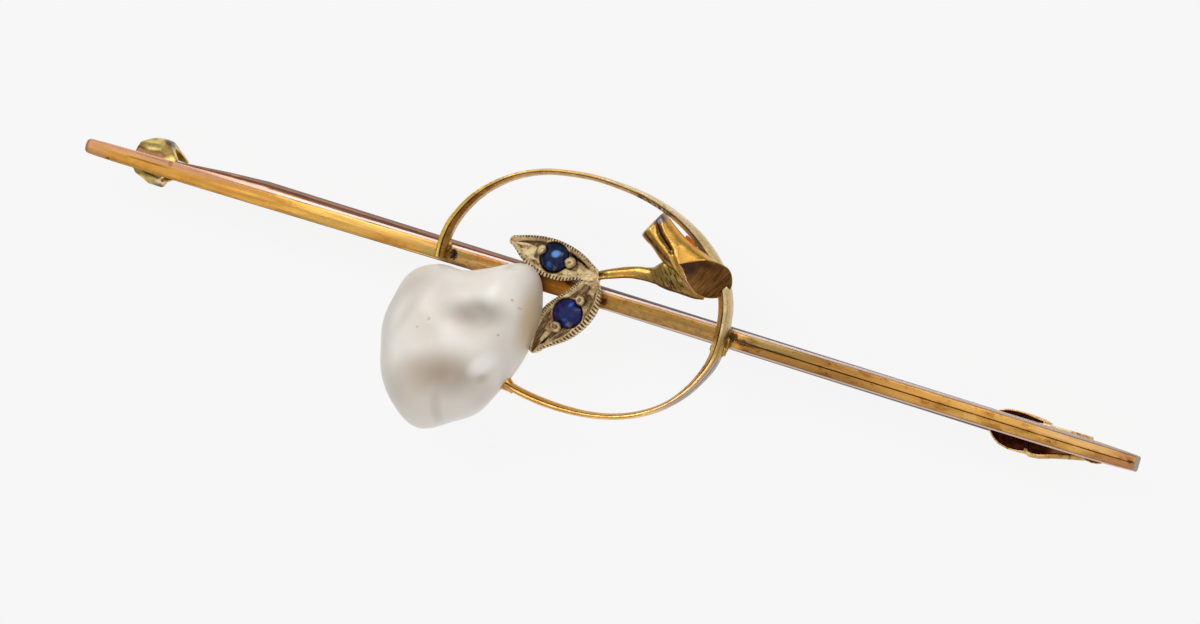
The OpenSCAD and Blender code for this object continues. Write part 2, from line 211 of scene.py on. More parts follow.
class Finish:
    # one material, whose nodes read places in millimetres from the middle of the bar
    def __init__(self, name, metal=1.0):
        self.mat = bpy.data.materials.new(name)
        self.mat.use_nodes = True
        self.tree = self.mat.node_tree
        self.tree.nodes.clear()
        out = self.add("OutputMaterial")
        self.shader = self.add("BsdfPrincipled")
        self.join(self.shader.outputs[0], out.inputs[0])
        coords = self.add("TexCoord")
        self.place = self.moved(coords.outputs["Object"], "POINT", (0, -midY, 0), 0, (1 / mm,) * 3)
        self.set(Metallic=metal)

    def add(self, kind):
        return self.tree.nodes.new("ShaderNode" + kind)

    def join(self, a, b):
        self.tree.links.new(a, b)

    def moved(self, source, kind, at, turn, scale):
        m = self.add("Mapping")
        m.vector_type = kind
        m.inputs["Location"].default_value = at
        m.inputs["Rotation"].default_value = (0, 0, math.radians(turn))
        m.inputs["Scale"].default_value = scale
        self.join(source, m.inputs["Vector"])
        return m.outputs[0]

    def value(self, name):
        a = self.add("Attribute")
        a.attribute_name = name
        return a.outputs["Fac"]

    def speck(self, scale, detail=4, rough=0.55, stretch=(1, 1, 1), turn=0):
        # cloudy noise, scale in grains for each millimetre
        n = self.add("TexNoise")
        n.inputs["Scale"].default_value = scale
        n.inputs["Detail"].default_value = detail
        n.inputs["Roughness"].default_value = rough
        source = self.place
        if stretch != (1, 1, 1) or turn:
            source = self.moved(source, "TEXTURE", (0, 0, 0), turn, tuple(1 / s for s in stretch))
        self.join(source, n.inputs["Vector"])
        return n.outputs["Fac"]

    def spot(self, at, size, turn=0):
        # 1 in the middle of a soft ball, 0 at its edge
        g = self.add("TexGradient")
        g.gradient_type = "SPHERICAL"
        self.join(self.moved(self.place, "TEXTURE", at, turn, size), g.inputs[0])
        return g.outputs["Fac"]

    def sum(self, kind, a, b=0.5):
        m = self.add("Math")
        m.operation = kind
        for socket, v in zip(m.inputs, (a, b)):
            if isinstance(v, (int, float)):
                socket.default_value = v
            else:
                self.join(v, socket)
        return m.outputs[0]

    def band(self, source, low, high, to0=0.0, to1=1.0):
        r = self.add("MapRange")
        r.interpolation_type = "SMOOTHSTEP"
        for name, v in zip(("From Min", "From Max", "To Min", "To Max"), (low, high, to0, to1)):
            r.inputs[name].default_value = v
        self.join(source, r.inputs["Value"])
        return r.outputs[0]

    def mix(self, share, a, b, kind="MIX"):
        m = self.add("Mix")
        m.data_type = "RGBA"
        m.blend_type = kind
        for socket, v in zip((m.inputs[0], m.inputs[6], m.inputs[7]), (share, a, b)):
            if isinstance(v, (int, float, tuple)):
                socket.default_value = v
            else:
                self.join(v, socket)
        return m.outputs[2]

    def span(self, source, a, b, c, d):
        # 0 up to a, 1 from b to c, 0 again after d
        return self.sum("MULTIPLY", self.band(source, a, b), self.band(source, d, c))

    def line(self, source, at, wide, fine):
        # a thin line where the source is at a value
        return self.band(self.sum("ABSOLUTE", self.sum("SUBTRACT", source, at)), wide, fine)

    def plus(self, a, b, times):
        return self.sum("ADD", a, self.sum("MULTIPLY", b, times))

    def share(self, s):
        # (source, from, to) is a band, and five values are a span
        return s if not isinstance(s, tuple) else self.band(*s) if len(s) == 3 else self.span(*s)

    def ground(self, share, one, other):
        self.base = self.mix(self.share(share), tone(*one), tone(*other))

    def lay(self, hue, *shares, kind="MIX"):
        # a colour over what is there, where all the shares are high
        total = self.share(shares[0])
        for s in shares[1:]:
            total = self.sum("MULTIPLY", total, self.share(s))
        self.base = self.mix(total, self.base, tone(*hue), kind)

    def dab(self, patches, low, high):
        for at, size, turn, share, hue in patches:
            self.lay(hue, (self.spot(at, size, turn), low, high), share)

    def parts(self):
        p = self.add("SeparateXYZ")
        self.join(self.place, p.inputs[0])
        return p.outputs

    def bumps(self, height, strength, deep):
        b = self.add("Bump")
        b.inputs["Strength"].default_value = strength
        b.inputs["Distance"].default_value = deep * mm
        self.join(height, b.inputs["Height"])
        self.join(b.outputs[0], self.shader.inputs["Normal"])

    def set(self, **values):
        for name, v in values.items():
            self.shader.inputs[name.replace("_", " ")].default_value = v

    def done(self, rough, *bumps):
        self.join(self.base, self.shader.inputs["Base Color"])
        if rough:
            self.join(rough, self.shader.inputs["Roughness"])
        self.bumps(*bumps)
        return self.mat


def barGold():
    f = Finish("barGold")
    across, along = f.value("across"), f.value("along")
    clouds = f.speck(0.9, 5, 0.6, (0.3, 1, 1), -0.3)
    grain = f.speck(3.4, 5, 0.65)
    f.ground((clouds, 0.36, 0.66), (250, 192, 98), (226, 160, 74))
    f.lay((206, 150, 76), (grain, 0.5, 0.68), 0.55)
    # the catch half is rosy at its end and along its upper edge
    f.lay((226, 172, 128), (across, 0.1, 0.5), (along, -16, -24), (clouds, 0.2, 0.6))
    f.lay((226, 168, 116), (along, -27.0, -27.6), f.band(grain, 0.25, 0.6, 0.6, 1.0))
    f.lay((168, 108, 44), (along, -26.4, -25.7, -24.4, -23.4), (across, 0.02, 0.16, 0.2, 0.36),
          (clouds, 0.2, 0.5))
    f.lay((252, 204, 120), (along, -15, -13, -9.4, -8.6), (across, -0.2, 0.3), 0.7)
    f.lay((196, 174, 112), (along, -10.0, -9.0, -8.2, -7.9), (across, 0.3, -0.1), 0.7)
    # between the ring's crossings the upper half is darker and brown
    inside = f.span(along, -8.4, -7.9, 7.3, 7.8)
    f.lay((222, 178, 112), inside, 0.85)
    f.lay((190, 152, 84), inside, (across, -0.2, 0.2, 0.5, 0.78), (clouds, 0.2, 0.55))
    f.lay((206, 128, 36), (along, -3.2, -2.6, -1.5, -1.1), 0.85)
    f.lay((206, 156, 82), (along, 0.3, 0.6, 1.4, 2.4), (grain, 0.3, 0.6), 0.8)
    f.lay((158, 110, 50), inside, (across, 0.0, 0.3), (grain, 0.52, 0.6), 0.6)
    f.lay((178, 142, 84), inside, (across, 0.1, -0.1), (grain, 0.5, 0.58), 0.6)
    f.lay((150, 104, 56), inside, (f.speck(9.0, 3), 0.66, 0.76), 0.8)
    # the hinge half is orange above its cut line and ochre below it
    right = f.band(along, 7.6, 8.2)
    f.lay((254, 190, 98), right, (across, -0.02, 0.06), (along, 9, 12.5), 0.8)
    f.lay((232, 206, 126), right, (along, 12.5, 9.5), (across, -0.02, 0.06), 0.6)
    f.lay((226, 168, 86), right, (across, 0.02, -0.06), 0.8)
    f.lay((238, 172, 118), (along, 26.6, 27.8), (across, -0.3, 0.3), 0.8)
    f.lay((132, 82, 34), right, f.line(across, 0, 0.075, 0.03), f.band(grain, 0.2, 0.5, 0.6, 0.95))
    f.lay((112, 70, 36), right, (f.speck(5.0, 4, 0.6, (0.6, 1, 1)), 0.62, 0.72), 0.75)
    f.lay((255, 208, 116), (along, -16.5, -15, -13, -11.5), 0.6)
    f.lay((230, 172, 84), (along, -20, -19, -17.5, -16.5), 0.6)
    # darker inside the ring, painted shade between its crossings, and darker just beyond it; cloudy towards the
    # hinge
    f.lay((214, 212, 206), (along, -7.4, -8.2), kind="MULTIPLY")
    f.lay((202, 196, 190), inside, kind="MULTIPLY")
    f.lay((240, 242, 246), right, kind="MULTIPLY")
    f.lay((198, 194, 198), right, (along, 17.5, 12.5), kind="MULTIPLY")
    patches = f.speck(1.5, 5, 0.65, (0.45, 1, 1), -0.3)
    f.lay((216, 200, 184), right, (patches, 0.5, 0.62), kind="MULTIPLY")
    f.lay((250, 196, 112), right, (along, 14, 19), (patches, 0.46, 0.36), 0.5)
    f.lay((255, 206, 146), (along, 22.5, 24.5, 26.5, 27.5), (across, 0.05, 0.3), 0.6)
    f.lay((186, 126, 84), (along, 25.5, 27.4), (across, 0.05, -0.1), 0.75)
    # polished edges, the lower one painted pale as a painted reflection of the white surroundings, and the thin
    # dark lines between them and the face
    upper = f.sum("MULTIPLY", f.band(across, 0.8, 0.84), f.band(along, -28.2, -23.5, 0.35, 1.0))
    lower = f.sum("MULTIPLY", f.band(across, -0.8, -0.84), f.band(along, -1.0, 0.5))
    f.lay((176, 160, 154), upper)
    f.lay((176, 134, 110), (across, 0.7, 0.78), (along, -17, -23))
    f.lay((232, 204, 190), lower)
    f.lay((136, 96, 74), f.line(across, 0.8, 0.08, 0.02), f.band(along, -22, -18, 0.1, 0.7))
    f.lay((136, 96, 74), f.line(across, -0.8, 0.08, 0.02), right, 0.7)
    f.lay((110, 74, 44), (across, -0.86, -0.93), (along, 0.5, -1.0), 0.8)
    # solder, pits and stains, partly painted shade beside the ring and the leaf
    for at, size, deep, hue in barStainsAndShade:
        ragged = f.sum("MULTIPLY", f.spot(at, size), f.band(f.speck(9.0, 5, 0.75), 0.3, 0.7, 0.3, 2.6))
        f.lay(hue, (ragged, 0.2, 0.7), deep)
    # the hinge end is a bare cut, grey-green
    f.lay((128, 122, 104), (along, 28.49, 28.5))
    scratch = f.speck(1.0, 5, 0.6, (0.35, 9, 9), -0.3)
    dull = f.sum("ADD", f.band(scratch, 0.3, 0.75, 0.28, 0.42), f.band(along, -17, -24, 0, 0.14))
    return f.done(dull, f.plus(scratch, clouds, 1.6), 0.3, 0.02)


# dark solder, pits and stains on the bar, and painted shade where the ring and the lower leaf meet it: place,
# size, how dark, tone
barStainsAndShade = [
    ((-7.72, 0.12, 3.15), (0.3, 0.42, 0.6), 1.0, (36, 28, 20)),
    ((-7.3, -0.3, 3.15), (0.6, 0.14, 0.6), 0.7, (110, 78, 40)),
    ((-6.0, 0.35, 3.15), (1.2, 0.2, 0.6), 0.6, (150, 92, 44)),
    ((7.42, 0.16, 3.15), (0.32, 0.36, 0.8), 0.95, (64, 50, 30)),
    ((7.85, 0.03, 3.15), (0.4, 0.26, 0.8), 0.85, (70, 52, 32)),
    ((8.4, 0.0, 3.15), (0.6, 0.14, 0.8), 0.75, (86, 60, 30)),
    ((9.9, 0.04, 3.15), (1.4, 0.1, 0.8), 0.5, (96, 66, 34)),
    ((-1.46, 0.38, 3.15), (0.34, 0.2, 0.5), 0.95, (84, 46, 18)),
    ((-1.85, 0.15, 3.15), (0.5, 0.34, 0.5), 0.6, (132, 86, 30)),
    ((0.45, 0.0, 3.15), (0.36, 0.28, 0.5), 0.95, (88, 42, 18)),
    ((28.12, -0.1, 3.15), (0.24, 0.12, 0.3), 0.95, (86, 50, 26)),
    ((-27.1, -0.32, 3.15), (0.2, 0.2, 0.5), 0.8, (120, 66, 36)),
    ((-23.7, 0.42, 3.15), (0.16, 0.26, 0.5), 0.7, (146, 84, 60)),
    ((-28.35, 0.1, 3.15), (0.3, 0.4, 0.6), 0.6, (200, 132, 100)),
]


def wireGold():
    f = Finish("wireGold")
    across, turn = f.value("across"), f.value("along")
    clouds = f.speck(1.4, 5, 0.6)
    grain = f.speck(5.0, 5, 0.65)
    # the top and the outer wall, from the catch side over the top to the peg
    f.ground((clouds, 0.36, 0.64), (236, 198, 112), (206, 164, 84))
    f.lay((238, 196, 122), (turn, 78, 96, 124, 142), 0.8)
    f.lay((200, 178, 136), (turn, -2, 8, 66, 80), 0.85)
    # a painted highlight strip along the top of the ring
    f.lay((234, 212, 184), (turn, 52, 64, 92, 106), (across, 0.08, 0.2), 0.9)
    f.lay((214, 168, 114), (turn, -52, -40, -12, -4), 0.85)
    f.lay((168, 142, 84), (turn, -14, -6, 2, 8), 0.8)
    f.lay((226, 176, 96), (turn, -44, -60), 0.85)
    f.lay((212, 180, 84), (turn, 146, 162), 0.8)
    f.lay((138, 106, 58), (grain, 0.54, 0.7), 0.5)
    outer = f.base
    # the slope towards the middle of the ring
    f.ground((clouds, 0.36, 0.64), (216, 168, 92), (182, 136, 72))
    f.lay((232, 192, 104), (turn, -10, 4, 26, 36), 0.9)
    f.lay((122, 114, 76), (turn, 28, 38, 50, 60), 0.9)
    f.lay((206, 166, 86), (turn, 52, 62, 80, 94), 0.85)
    f.lay((176, 112, 62), (turn, 150, 156, 166, 174), (grain, 0.46, 0.6), 0.8)
    f.lay((204, 146, 66), (turn, -6, -20), 0.8)
    f.lay((120, 66, 24), (turn, -40, -34, -14, -8), (grain, 0.54, 0.64), 0.9)
    f.lay((226, 172, 82), (turn, -52, -66), 0.7)
    f.base = f.mix(f.band(across, -0.04, -0.12), outer, f.base)
    f.lay((190, 172, 156), (across, 0.26, 0.34), (turn, -46, -36, -12, -6), 0.85)
    f.lay((120, 116, 118), (across, 0.4, 0.46), (turn, -44, -34, -10, -4), 0.9)
    f.lay((66, 50, 24), (turn, 64, 68, 80, 86), (across, 0.1, -0.1), (grain, 0.46, 0.56))
    f.lay((84, 56, 26), f.line(across, -0.08, 0.09, 0.03), f.band(clouds, 0.3, 0.6, 0.6, 1.0))
    f.lay((122, 88, 42), f.line(across, 0.26, 0.04, 0.015), (turn, -20, -50), 0.6)
    return f.done(f.band(grain, 0.3, 0.7, 0.24, 0.42), f.plus(grain, clouds, 2), 0.35, 0.02)


def leafGold():
    f = Finish("leafGold")
    deep, pale = f.value("deep"), f.value("pale")
    grain = f.speck(6.0, 6, 0.7)
    strokes = f.speck(3.0, 4, 0.6, (0.6, 5, 1), 64)
    f.ground((f.speck(1.6, 4), 0.36, 0.64), (244, 214, 162), (204, 168, 120))
    f.lay((118, 88, 60), (grain, 0.5, 0.6), 0.8)
    # painted highlights, pale, on bright facets and rims
    f.lay((255, 236, 190), pale, f.band(grain, 0.7, 0.45, 0.4, 1.0))
    f.lay((122, 92, 64), (deep, 0.08, 0.32, 0.55, 0.8), f.band(strokes, 0.35, 0.6, 0.5, 1.0))
    # painted shade, near black, in the notches, the sunk cuts and round each stone
    f.lay((56, 38, 22), (deep, 0.5, 0.9))
    return f.done(f.band(grain, 0.3, 0.7, 0.42, 0.6), f.sum("ADD", grain, strokes), 1.0, 0.08)


def twigGold():
    f = Finish("twigGold")
    deep, pale = f.value("deep"), f.value("pale")
    x, y = f.parts()[0], f.parts()[1]
    clouds = f.speck(1.6, 5)
    grain = f.speck(5.0, 5, 0.7)
    f.ground((clouds, 0.36, 0.64), (214, 172, 92), (184, 142, 72))
    # amber where the log faces the lamp, olive on the stem and its web
    f.lay((226, 168, 76), (x, 2.6, 3.1, 5.4, 6.0), (y, 2.6, 3.2), (clouds, 0.25, 0.55), 0.8)
    f.lay((230, 168, 76), f.spot((1.24, 1.58, 3.9), (0.7, 0.28, 0.7), 18), (clouds, 0.3, 0.5), 1.2)
    f.lay((158, 134, 74), f.spot((3.5, 2.1, 4.0), (1.5, 1.0, 1.2)), 1.4)
    f.lay((104, 74, 40), (grain, 0.55, 0.7), 0.6)
    scratch = f.speck(4.0, 3, 0.6, (0.35, 2.4, 1), -50)
    f.lay((86, 62, 34), f.spot((3.6, 2.1, 4.0), (1.4, 1.0, 1.2)), (scratch, 0.52, 0.62), 2.0)
    # the ridge and the lip by the cut face are painted pale, painted highlights
    f.lay((244, 196, 92), (pale, 0.2, 0.9))
    f.lay((214, 164, 132), f.spot((4.7, 2.1, 4.8), (0.5, 0.7, 0.8), 30), 1.2)
    # the groove and the stem's crease are painted dark as painted shade, and a thin band along the log darker
    f.lay((120, 84, 66), (deep, 0.1, 0.3, 0.5, 0.7), (grain, 0.3, 0.55))
    f.lay((46, 26, 12), (deep, 0.5, 0.9))
    f.lay((122, 112, 118), f.spot((2.4, 4.86, 4.9), (0.46, 0.4, 0.6)), 1.8)
    # painted dark shade where the stem meets the leaves
    f.lay((40, 28, 18), f.spot((0.1, 1.28, 3.7), (0.55, 0.24, 0.5), 24), (grain, 0.36, 0.56), 1.4)
    return f.done(f.band(clouds, 0.3, 0.7, 0.22, 0.4), f.plus(grain, clouds, 2), 0.45, 0.03)


def pegGold():
    f = Finish("pegGold")
    f.ground((f.speck(2.4, 5), 0.36, 0.64), (240, 172, 70), (188, 116, 40))
    return f.done(f.band(f.speck(3.0, 4), 0.3, 0.7, 0.26, 0.42), f.speck(4.0, 4), 0.4, 0.02)


def cutFaceGold():
    # sawn across and left brown, with the saw's strokes
    f = Finish("cutFaceGold")
    strokes = f.speck(3.4, 4, 0.6, (0.35, 4, 1), 66)
    f.ground((strokes, 0.4, 0.62), (106, 70, 36), (146, 102, 54))
    f.lay((70, 48, 36), f.spot((4.4, 2.85, 4.9), (0.9, 0.7, 1.6)), 1.8)
    f.lay((74, 48, 28), f.spot((5.2, 3.25, 4.6), (1.0, 0.4, 1.6)), 1.4)
    return f.done(f.band(strokes, 0.3, 0.7, 0.36, 0.52), strokes, 0.9, 0.03)


def hookGold():
    # painted highlights, yellow, on the hook's bulb and lip, and painted shade, olive and dark, below and
    # between them
    f = Finish("hookGold")
    clouds = f.speck(1.8, 5)
    f.ground((clouds, 0.36, 0.64), (226, 192, 110), (190, 156, 82))
    f.dab(hookLightAndShade, 0.05, 0.6)
    f.lay((96, 70, 40), (f.speck(3.6, 5, 0.65), 0.54, 0.7), 0.5)
    return f.done(f.band(clouds, 0.3, 0.7, 0.22, 0.4), f.speck(3.0, 5), 0.35, 0.025)


# painted highlights and shade of the hook: place, size, turn, share, tone
hookLightAndShade = [
    ((-26.25, 0.8, 1.5), (0.34, 0.6, 1.4), 0, 0.9, (104, 84, 44)),
    ((-25.4, 0.66, 1.8), (1.9, 0.36, 1.6), 2, 1.5, (100, 74, 48)),
    ((-25.15, 1.08, 2.0), (0.8, 0.34, 0.9), 8, 1.0, (250, 222, 136)),
    ((-24.6, 1.5, 1.6), (0.66, 0.28, 1.0), -30, 0.95, (86, 72, 64)),
    ((-24.1, 1.0, 1.9), (0.8, 0.12, 0.8), -10, 0.9, (236, 206, 130)),
    ((-24.95, -0.42, 1.8), (0.9, 0.1, 1.0), -6, 0.9, (96, 78, 50)),
    ((-24.65, -0.62, 1.6), (0.7, 0.14, 0.8), -4, 0.9, (232, 208, 160)),
    ((-24.55, -0.84, 1.2), (0.6, 0.12, 0.9), 0, 0.95, (84, 72, 52)),
]


def hingeGold():
    # the fittings behind the bar, plain gold on their rims, with a painted dark shade inside the hinge
    f = Finish("hingeGold")
    f.ground((f.speck(2.0, 5), 0.36, 0.64), (238, 204, 142), (204, 162, 98))
    f.lay((110, 76, 42), (f.speck(4.0, 5), 0.52, 0.68), 0.7)
    # painted shade, near black, inside the hinge
    f.lay((52, 22, 12), (f.spot((23.0, -0.5, 2.1), (0.75, 0.62, 0.5)), 0.1, 0.3))
    return f.done(f.band(f.speck(3.0, 4), 0.3, 0.7, 0.24, 0.42), f.speck(3.0, 5), 0.4, 0.03)


def hingeHollowShade():
    f = Finish("hingeHollowShade")
    # painted shade: the hollows of the hinge plates are painted near black, paler brown beyond x 24.5
    x = f.parts()[0]
    grain = f.speck(3.0, 5, 0.65)
    f.ground((grain, 0.4, 0.62), (44, 16, 10), (72, 36, 24))
    f.lay((164, 122, 82), (x, 23.9, 24.5), f.band(grain, 0.3, 0.55, 0.4, 1.0))
    return f.done(f.band(grain, 0.3, 0.7, 0.34, 0.55), grain, 0.5, 0.03)


def pinMetal():
    # pale towards the hinge as a painted reflection of the white surroundings on polished metal, browned
    # towards the point
    f = Finish("pinMetal")
    x = f.parts()[0]
    across = f.value("across")
    lines = f.speck(1.0, 5, 0.6, (0.3, 8, 8))
    patches = f.speck(1.1, 5, 0.6, (0.4, 1, 1))
    f.ground((patches, 0.38, 0.62), (186, 134, 106), (160, 116, 94))
    f.lay((224, 160, 112), (patches, 0.58, 0.7), 0.8)
    # a painted dark reflection along its upper side
    f.lay((92, 74, 66), (across, 0.78, 0.94), 0.9)
    brown = f.base
    f.ground((lines, 0.4, 0.62), (228, 218, 214), (206, 194, 188))
    # painted dark reflections along its sides
    f.lay((104, 98, 94), (across, 0.62, 0.74))
    f.lay((92, 80, 76), (across, 0.36, 0.5), (x, 8.5, 7.5))
    f.lay((88, 62, 48), (across, -0.58, -0.7))
    f.base = f.mix(f.band(x, -4.0, -1.0), brown, f.base)
    f.lay((150, 118, 92), (lines, 0.6, 0.74), 0.4)
    return f.done(f.band(lines, 0.3, 0.7, 0.16, 0.3), lines, 0.25, 0.012)


# painted shade and highlights of the pearl: shaded hollows, a shadow band and greyer rims, a highlight on the
# lower right lobe, a yellow reflection of the gold on its right edge, and darker pits: place, size, turn,
# share, tone
pearlShadeAndHighlights = [
    ((-4.8, -2.3, 6.4), (2.2, 1.05, 2.4), 12, 0.95, (148, 142, 132)),
    ((-4.95, -2.75, 6.2), (1.7, 1.1, 2.4), 10, 0.5, (178, 158, 138)),
    ((-5.6, -5.7, 6.2), (2.8, 1.7, 3.0), 18, 0.85, (162, 140, 118)),
    ((-6.9, -6.6, 5.6), (1.7, 2.0, 3.0), 20, 0.5, (186, 168, 148)),
    ((-8.1, -7.1, 4.5), (1.5, 2.6, 3.0), 30, 0.75, (182, 172, 158)),
    ((-9.4, -4.2, 4.4), (1.2, 5.0, 3.0), 8, 0.8, (192, 186, 176)),
    ((-8.5, -1.9, 5.0), (1.1, 2.2, 2.6), -38, 0.7, (186, 176, 162)),
    ((-7.3, -3.2, 5.6), (2.2, 2.2, 3.0), 0, 0.4, (204, 192, 178)),
    ((-8.2, -3.1, 5.6), (0.55, 2.6, 2.4), -20, 0.42, (196, 188, 176)),
    ((-2.45, -2.0, 4.5), (0.8, 2.8, 3.0), 4, 0.9, (200, 172, 122)),
    ((-3.3, -6.4, 4.6), (1.6, 1.6, 3.0), -40, 0.5, (196, 182, 170)),
    ((-5.65, -7.7, 5.2), (0.4, 2.2, 2.4), 6, 0.34, (182, 166, 150)),
    ((-3.8, -4.75, 6.3), (1.15, 0.62, 1.6), 52, 1.15, (255, 250, 244)),
    ((-3.75, -5.45, 6.0), (0.5, 0.3, 1.6), 50, 0.5, (176, 162, 148)),
    ((-7.02, -3.35, 6.4), (0.12, 0.2, 0.9), -40, 0.7, (150, 146, 134)),
    ((-7.49, -3.89, 6.2), (0.12, 0.1, 0.9), 0, 0.8, (140, 134, 124)),
    ((-3.3, -1.24, 6.0), (0.14, 0.1, 0.9), -30, 0.7, (150, 144, 132)),
    ((-2.9, -1.53, 5.6), (0.2, 0.08, 0.9), -10, 0.7, (150, 142, 130)),
    ((-3.8, 0.22, 5.0), (0.3, 0.1, 0.9), 30, 1.0, (120, 112, 104)),
    ((-3.46, -3.12, 6.0), (0.12, 0.1, 0.9), 0, 0.7, (156, 146, 134)),
    ((-4.1, 0.25, 5.2), (0.5, 0.3, 1.0), 20, 0.4, (160, 152, 140)),
]


def pearlSkin():
    f = Finish("pearlSkin", 0.0)
    clouds = f.speck(0.28, 4, 0.5)
    f.ground((clouds, 0.35, 0.65), (240, 235, 226), (232, 224, 213))
    # painted shade, highlights and reflections over the pearl's own colour
    f.dab(pearlShadeAndHighlights, 0, 0.9)
    f.set(IOR=1.5, Coat_Weight=0.2, Coat_Roughness=0.28, Sheen_Weight=0.15, Sheen_Roughness=0.5)
    f.set(Subsurface_Weight=0.12, Subsurface_Scale=0.0006)
    return f.done(f.band(clouds, 0.3, 0.7, 0.36, 0.46), f.plus(f.speck(1.6, 5, 0.6), clouds, 0.6), 0.14, 0.04)


def sapphire(name, at, turn, hues, glows):
    # sectors round the middle of the stone, each of its own blue, painted light and dark for the facets seen
    # through the table
    f = Finish(name, 0.0)
    swung = f.moved(f.place, "TEXTURE", at, turn, (1, 1, 1))
    g = f.add("TexGradient")
    g.gradient_type = "RADIAL"
    f.join(swung, g.inputs[0])
    part = f.sum("FLOOR", f.sum("MULTIPLY", g.outputs["Fac"], 16))
    pick = f.add("TexWhiteNoise")
    pick.noise_dimensions = "1D"
    f.join(part, pick.inputs["W"])
    f.ground(pick.outputs["Value"], hues[0], hues[1])
    cloud = f.speck(3.4, 3)
    f.lay(hues[2], (cloud, 0.5, 0.64), 0.8)
    # the glows are painted reflections in the stone, light and dark
    for spot, size, tilt, hue in glows:
        f.lay(hue, (f.spot(spot, size, tilt), 0.1, 0.6))
    f.set(Roughness=0.14, IOR=1.6, Specular_IOR_Level=0.25)
    return f.done(None, cloud, 0.1, 0.02)


def solderGold(name, light, dark):
    f = Finish(name)
    grain = f.speck(3.5, 5, 0.65)
    f.ground((grain, 0.42, 0.64), light, dark)
    return f.done(f.band(grain, 0.3, 0.7, 0.3, 0.5), grain, 0.5, 0.03)


finishes = {
    "bar": barGold(), "wire": wireGold(), "leaf": leafGold(), "twig": twigGold(), "peg": pegGold(),
    "cut": cutFaceGold(), "hook": hookGold(), "hinge": hingeGold(), "dark": hingeHollowShade(), "pin": pinMetal(),
    "pearl": pearlSkin(), "solder": solderGold("solderGold", (214, 172, 96), (140, 104, 52)),
    "bridge": solderGold("bridgeGold", (244, 120, 30), (196, 78, 18)),
}
print("finishes ready")


# how a piece is made


def newShape():
    bm = bmesh.new()
    for name in ("across", "along", "deep", "pale"):
        bm.verts.layers.float.new(name)
    return bm


def mark(bm, vert, **values):
    for name, v in values.items():
        vert[bm.verts.layers.float[name]] = v


def loft(bm, rings, marks=None, capped=True):
    # the first ring is drawn, and each next one is pulled out of it
    verts = [bm.verts.new(p) for p in rings[0]]
    n = len(verts)
    edges = [bm.edges.new((verts[i], verts[(i + 1) % n])) for i in range(n)]
    rows, ends = [verts], [edges]
    for ring in rings[1:]:
        made = bmesh.ops.extrude_edge_only(bm, edges=edges)["geom"]
        fresh = {g for g in made if isinstance(g, bmesh.types.BMVert)}
        verts = [next(e.other_vert(v) for e in v.link_edges if e.other_vert(v) in fresh) for v in verts]
        for v, p in zip(verts, ring):
            v.co = p
        edges = [bm.edges.get((verts[i], verts[(i + 1) % n])) for i in range(n)]
        rows.append(verts)
    ends.append(edges)
    if marks:
        for i, row in enumerate(rows):
            for j, v in enumerate(row):
                mark(bm, v, **marks(i, j))
    return [bmesh.ops.contextual_create(bm, geom=e)["faces"][0] for e in ends] if capped else []


def roundRing(at, z, r, way, n):
    # points round a line that lies flat and runs the given way
    angles = [2 * math.pi * k / n for k in range(n)]
    return [(*turned(0, r * math.cos(a), way, at), z + r * math.sin(a)) for a in angles]


def disc(x, z, r, y0, y1, n=48):
    # a round bar along Y
    bm = newShape()
    loft(bm, [roundRing((x, y), z, r, -90, n) for y in (y0, y1)])
    return rough(bm)


def prism(points, low, high):
    # a flat outline pulled up along Z
    bm = newShape()
    face = bm.faces.new([bm.verts.new((x, y, low)) for x, y in points])
    made = bmesh.ops.extrude_face_region(bm, geom=[face])["geom"]
    up = [g for g in made if isinstance(g, bmesh.types.BMVert)]
    bmesh.ops.translate(bm, vec=(0, 0, high - low), verts=up)
    bmesh.ops.recalc_face_normals(bm, faces=bm.faces)
    return bm


def rough(bm):
    # an unfinished object, still in millimetres
    bmesh.ops.recalc_face_normals(bm, faces=bm.faces)
    mesh = bpy.data.meshes.new("rough")
    bm.to_mesh(mesh)
    bm.free()
    obj = bpy.data.objects.new("rough", mesh)
    bpy.context.scene.collection.objects.link(obj)
    return obj


def settle(obj):
    # the modifiers become part of the mesh
    dg = bpy.context.evaluated_depsgraph_get()
    mesh = bpy.data.meshes.new_from_object(obj.evaluated_get(dg), depsgraph=dg)
    obj.modifiers.clear()
    obj.data = mesh
    return obj


def carve(obj, cutter, how="DIFFERENCE"):
    cut = obj.modifiers.new("carve", "BOOLEAN")
    cut.operation = how
    cut.solver = "EXACT"
    cut.object = cutter
    settle(obj)
    bpy.data.objects.remove(cutter)
    return obj


def soften(obj, width, segments=2, angle=35):
    b = obj.modifiers.new("soften", "BEVEL")
    b.width = width
    b.segments = segments
    b.limit_method = "ANGLE"
    b.angle_limit = math.radians(angle)
    b.profile = 0.5
    return settle(obj)


def finishPiece(obj, name, mats, sharp=38, body="brooch", node="frame"):
    mesh = obj.data
    mesh.transform(toPlace)
    mesh.name = obj.name = name
    for m in mats:
        mesh.materials.append(finishes[m])
    for p in mesh.polygons:
        p.use_smooth = True
    mesh.set_sharp_from_angle(angle=math.radians(sharp))
    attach(obj, body)
    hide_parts(node)
    print(f"{name}: {len(mesh.polygons)} faces")


# the bar


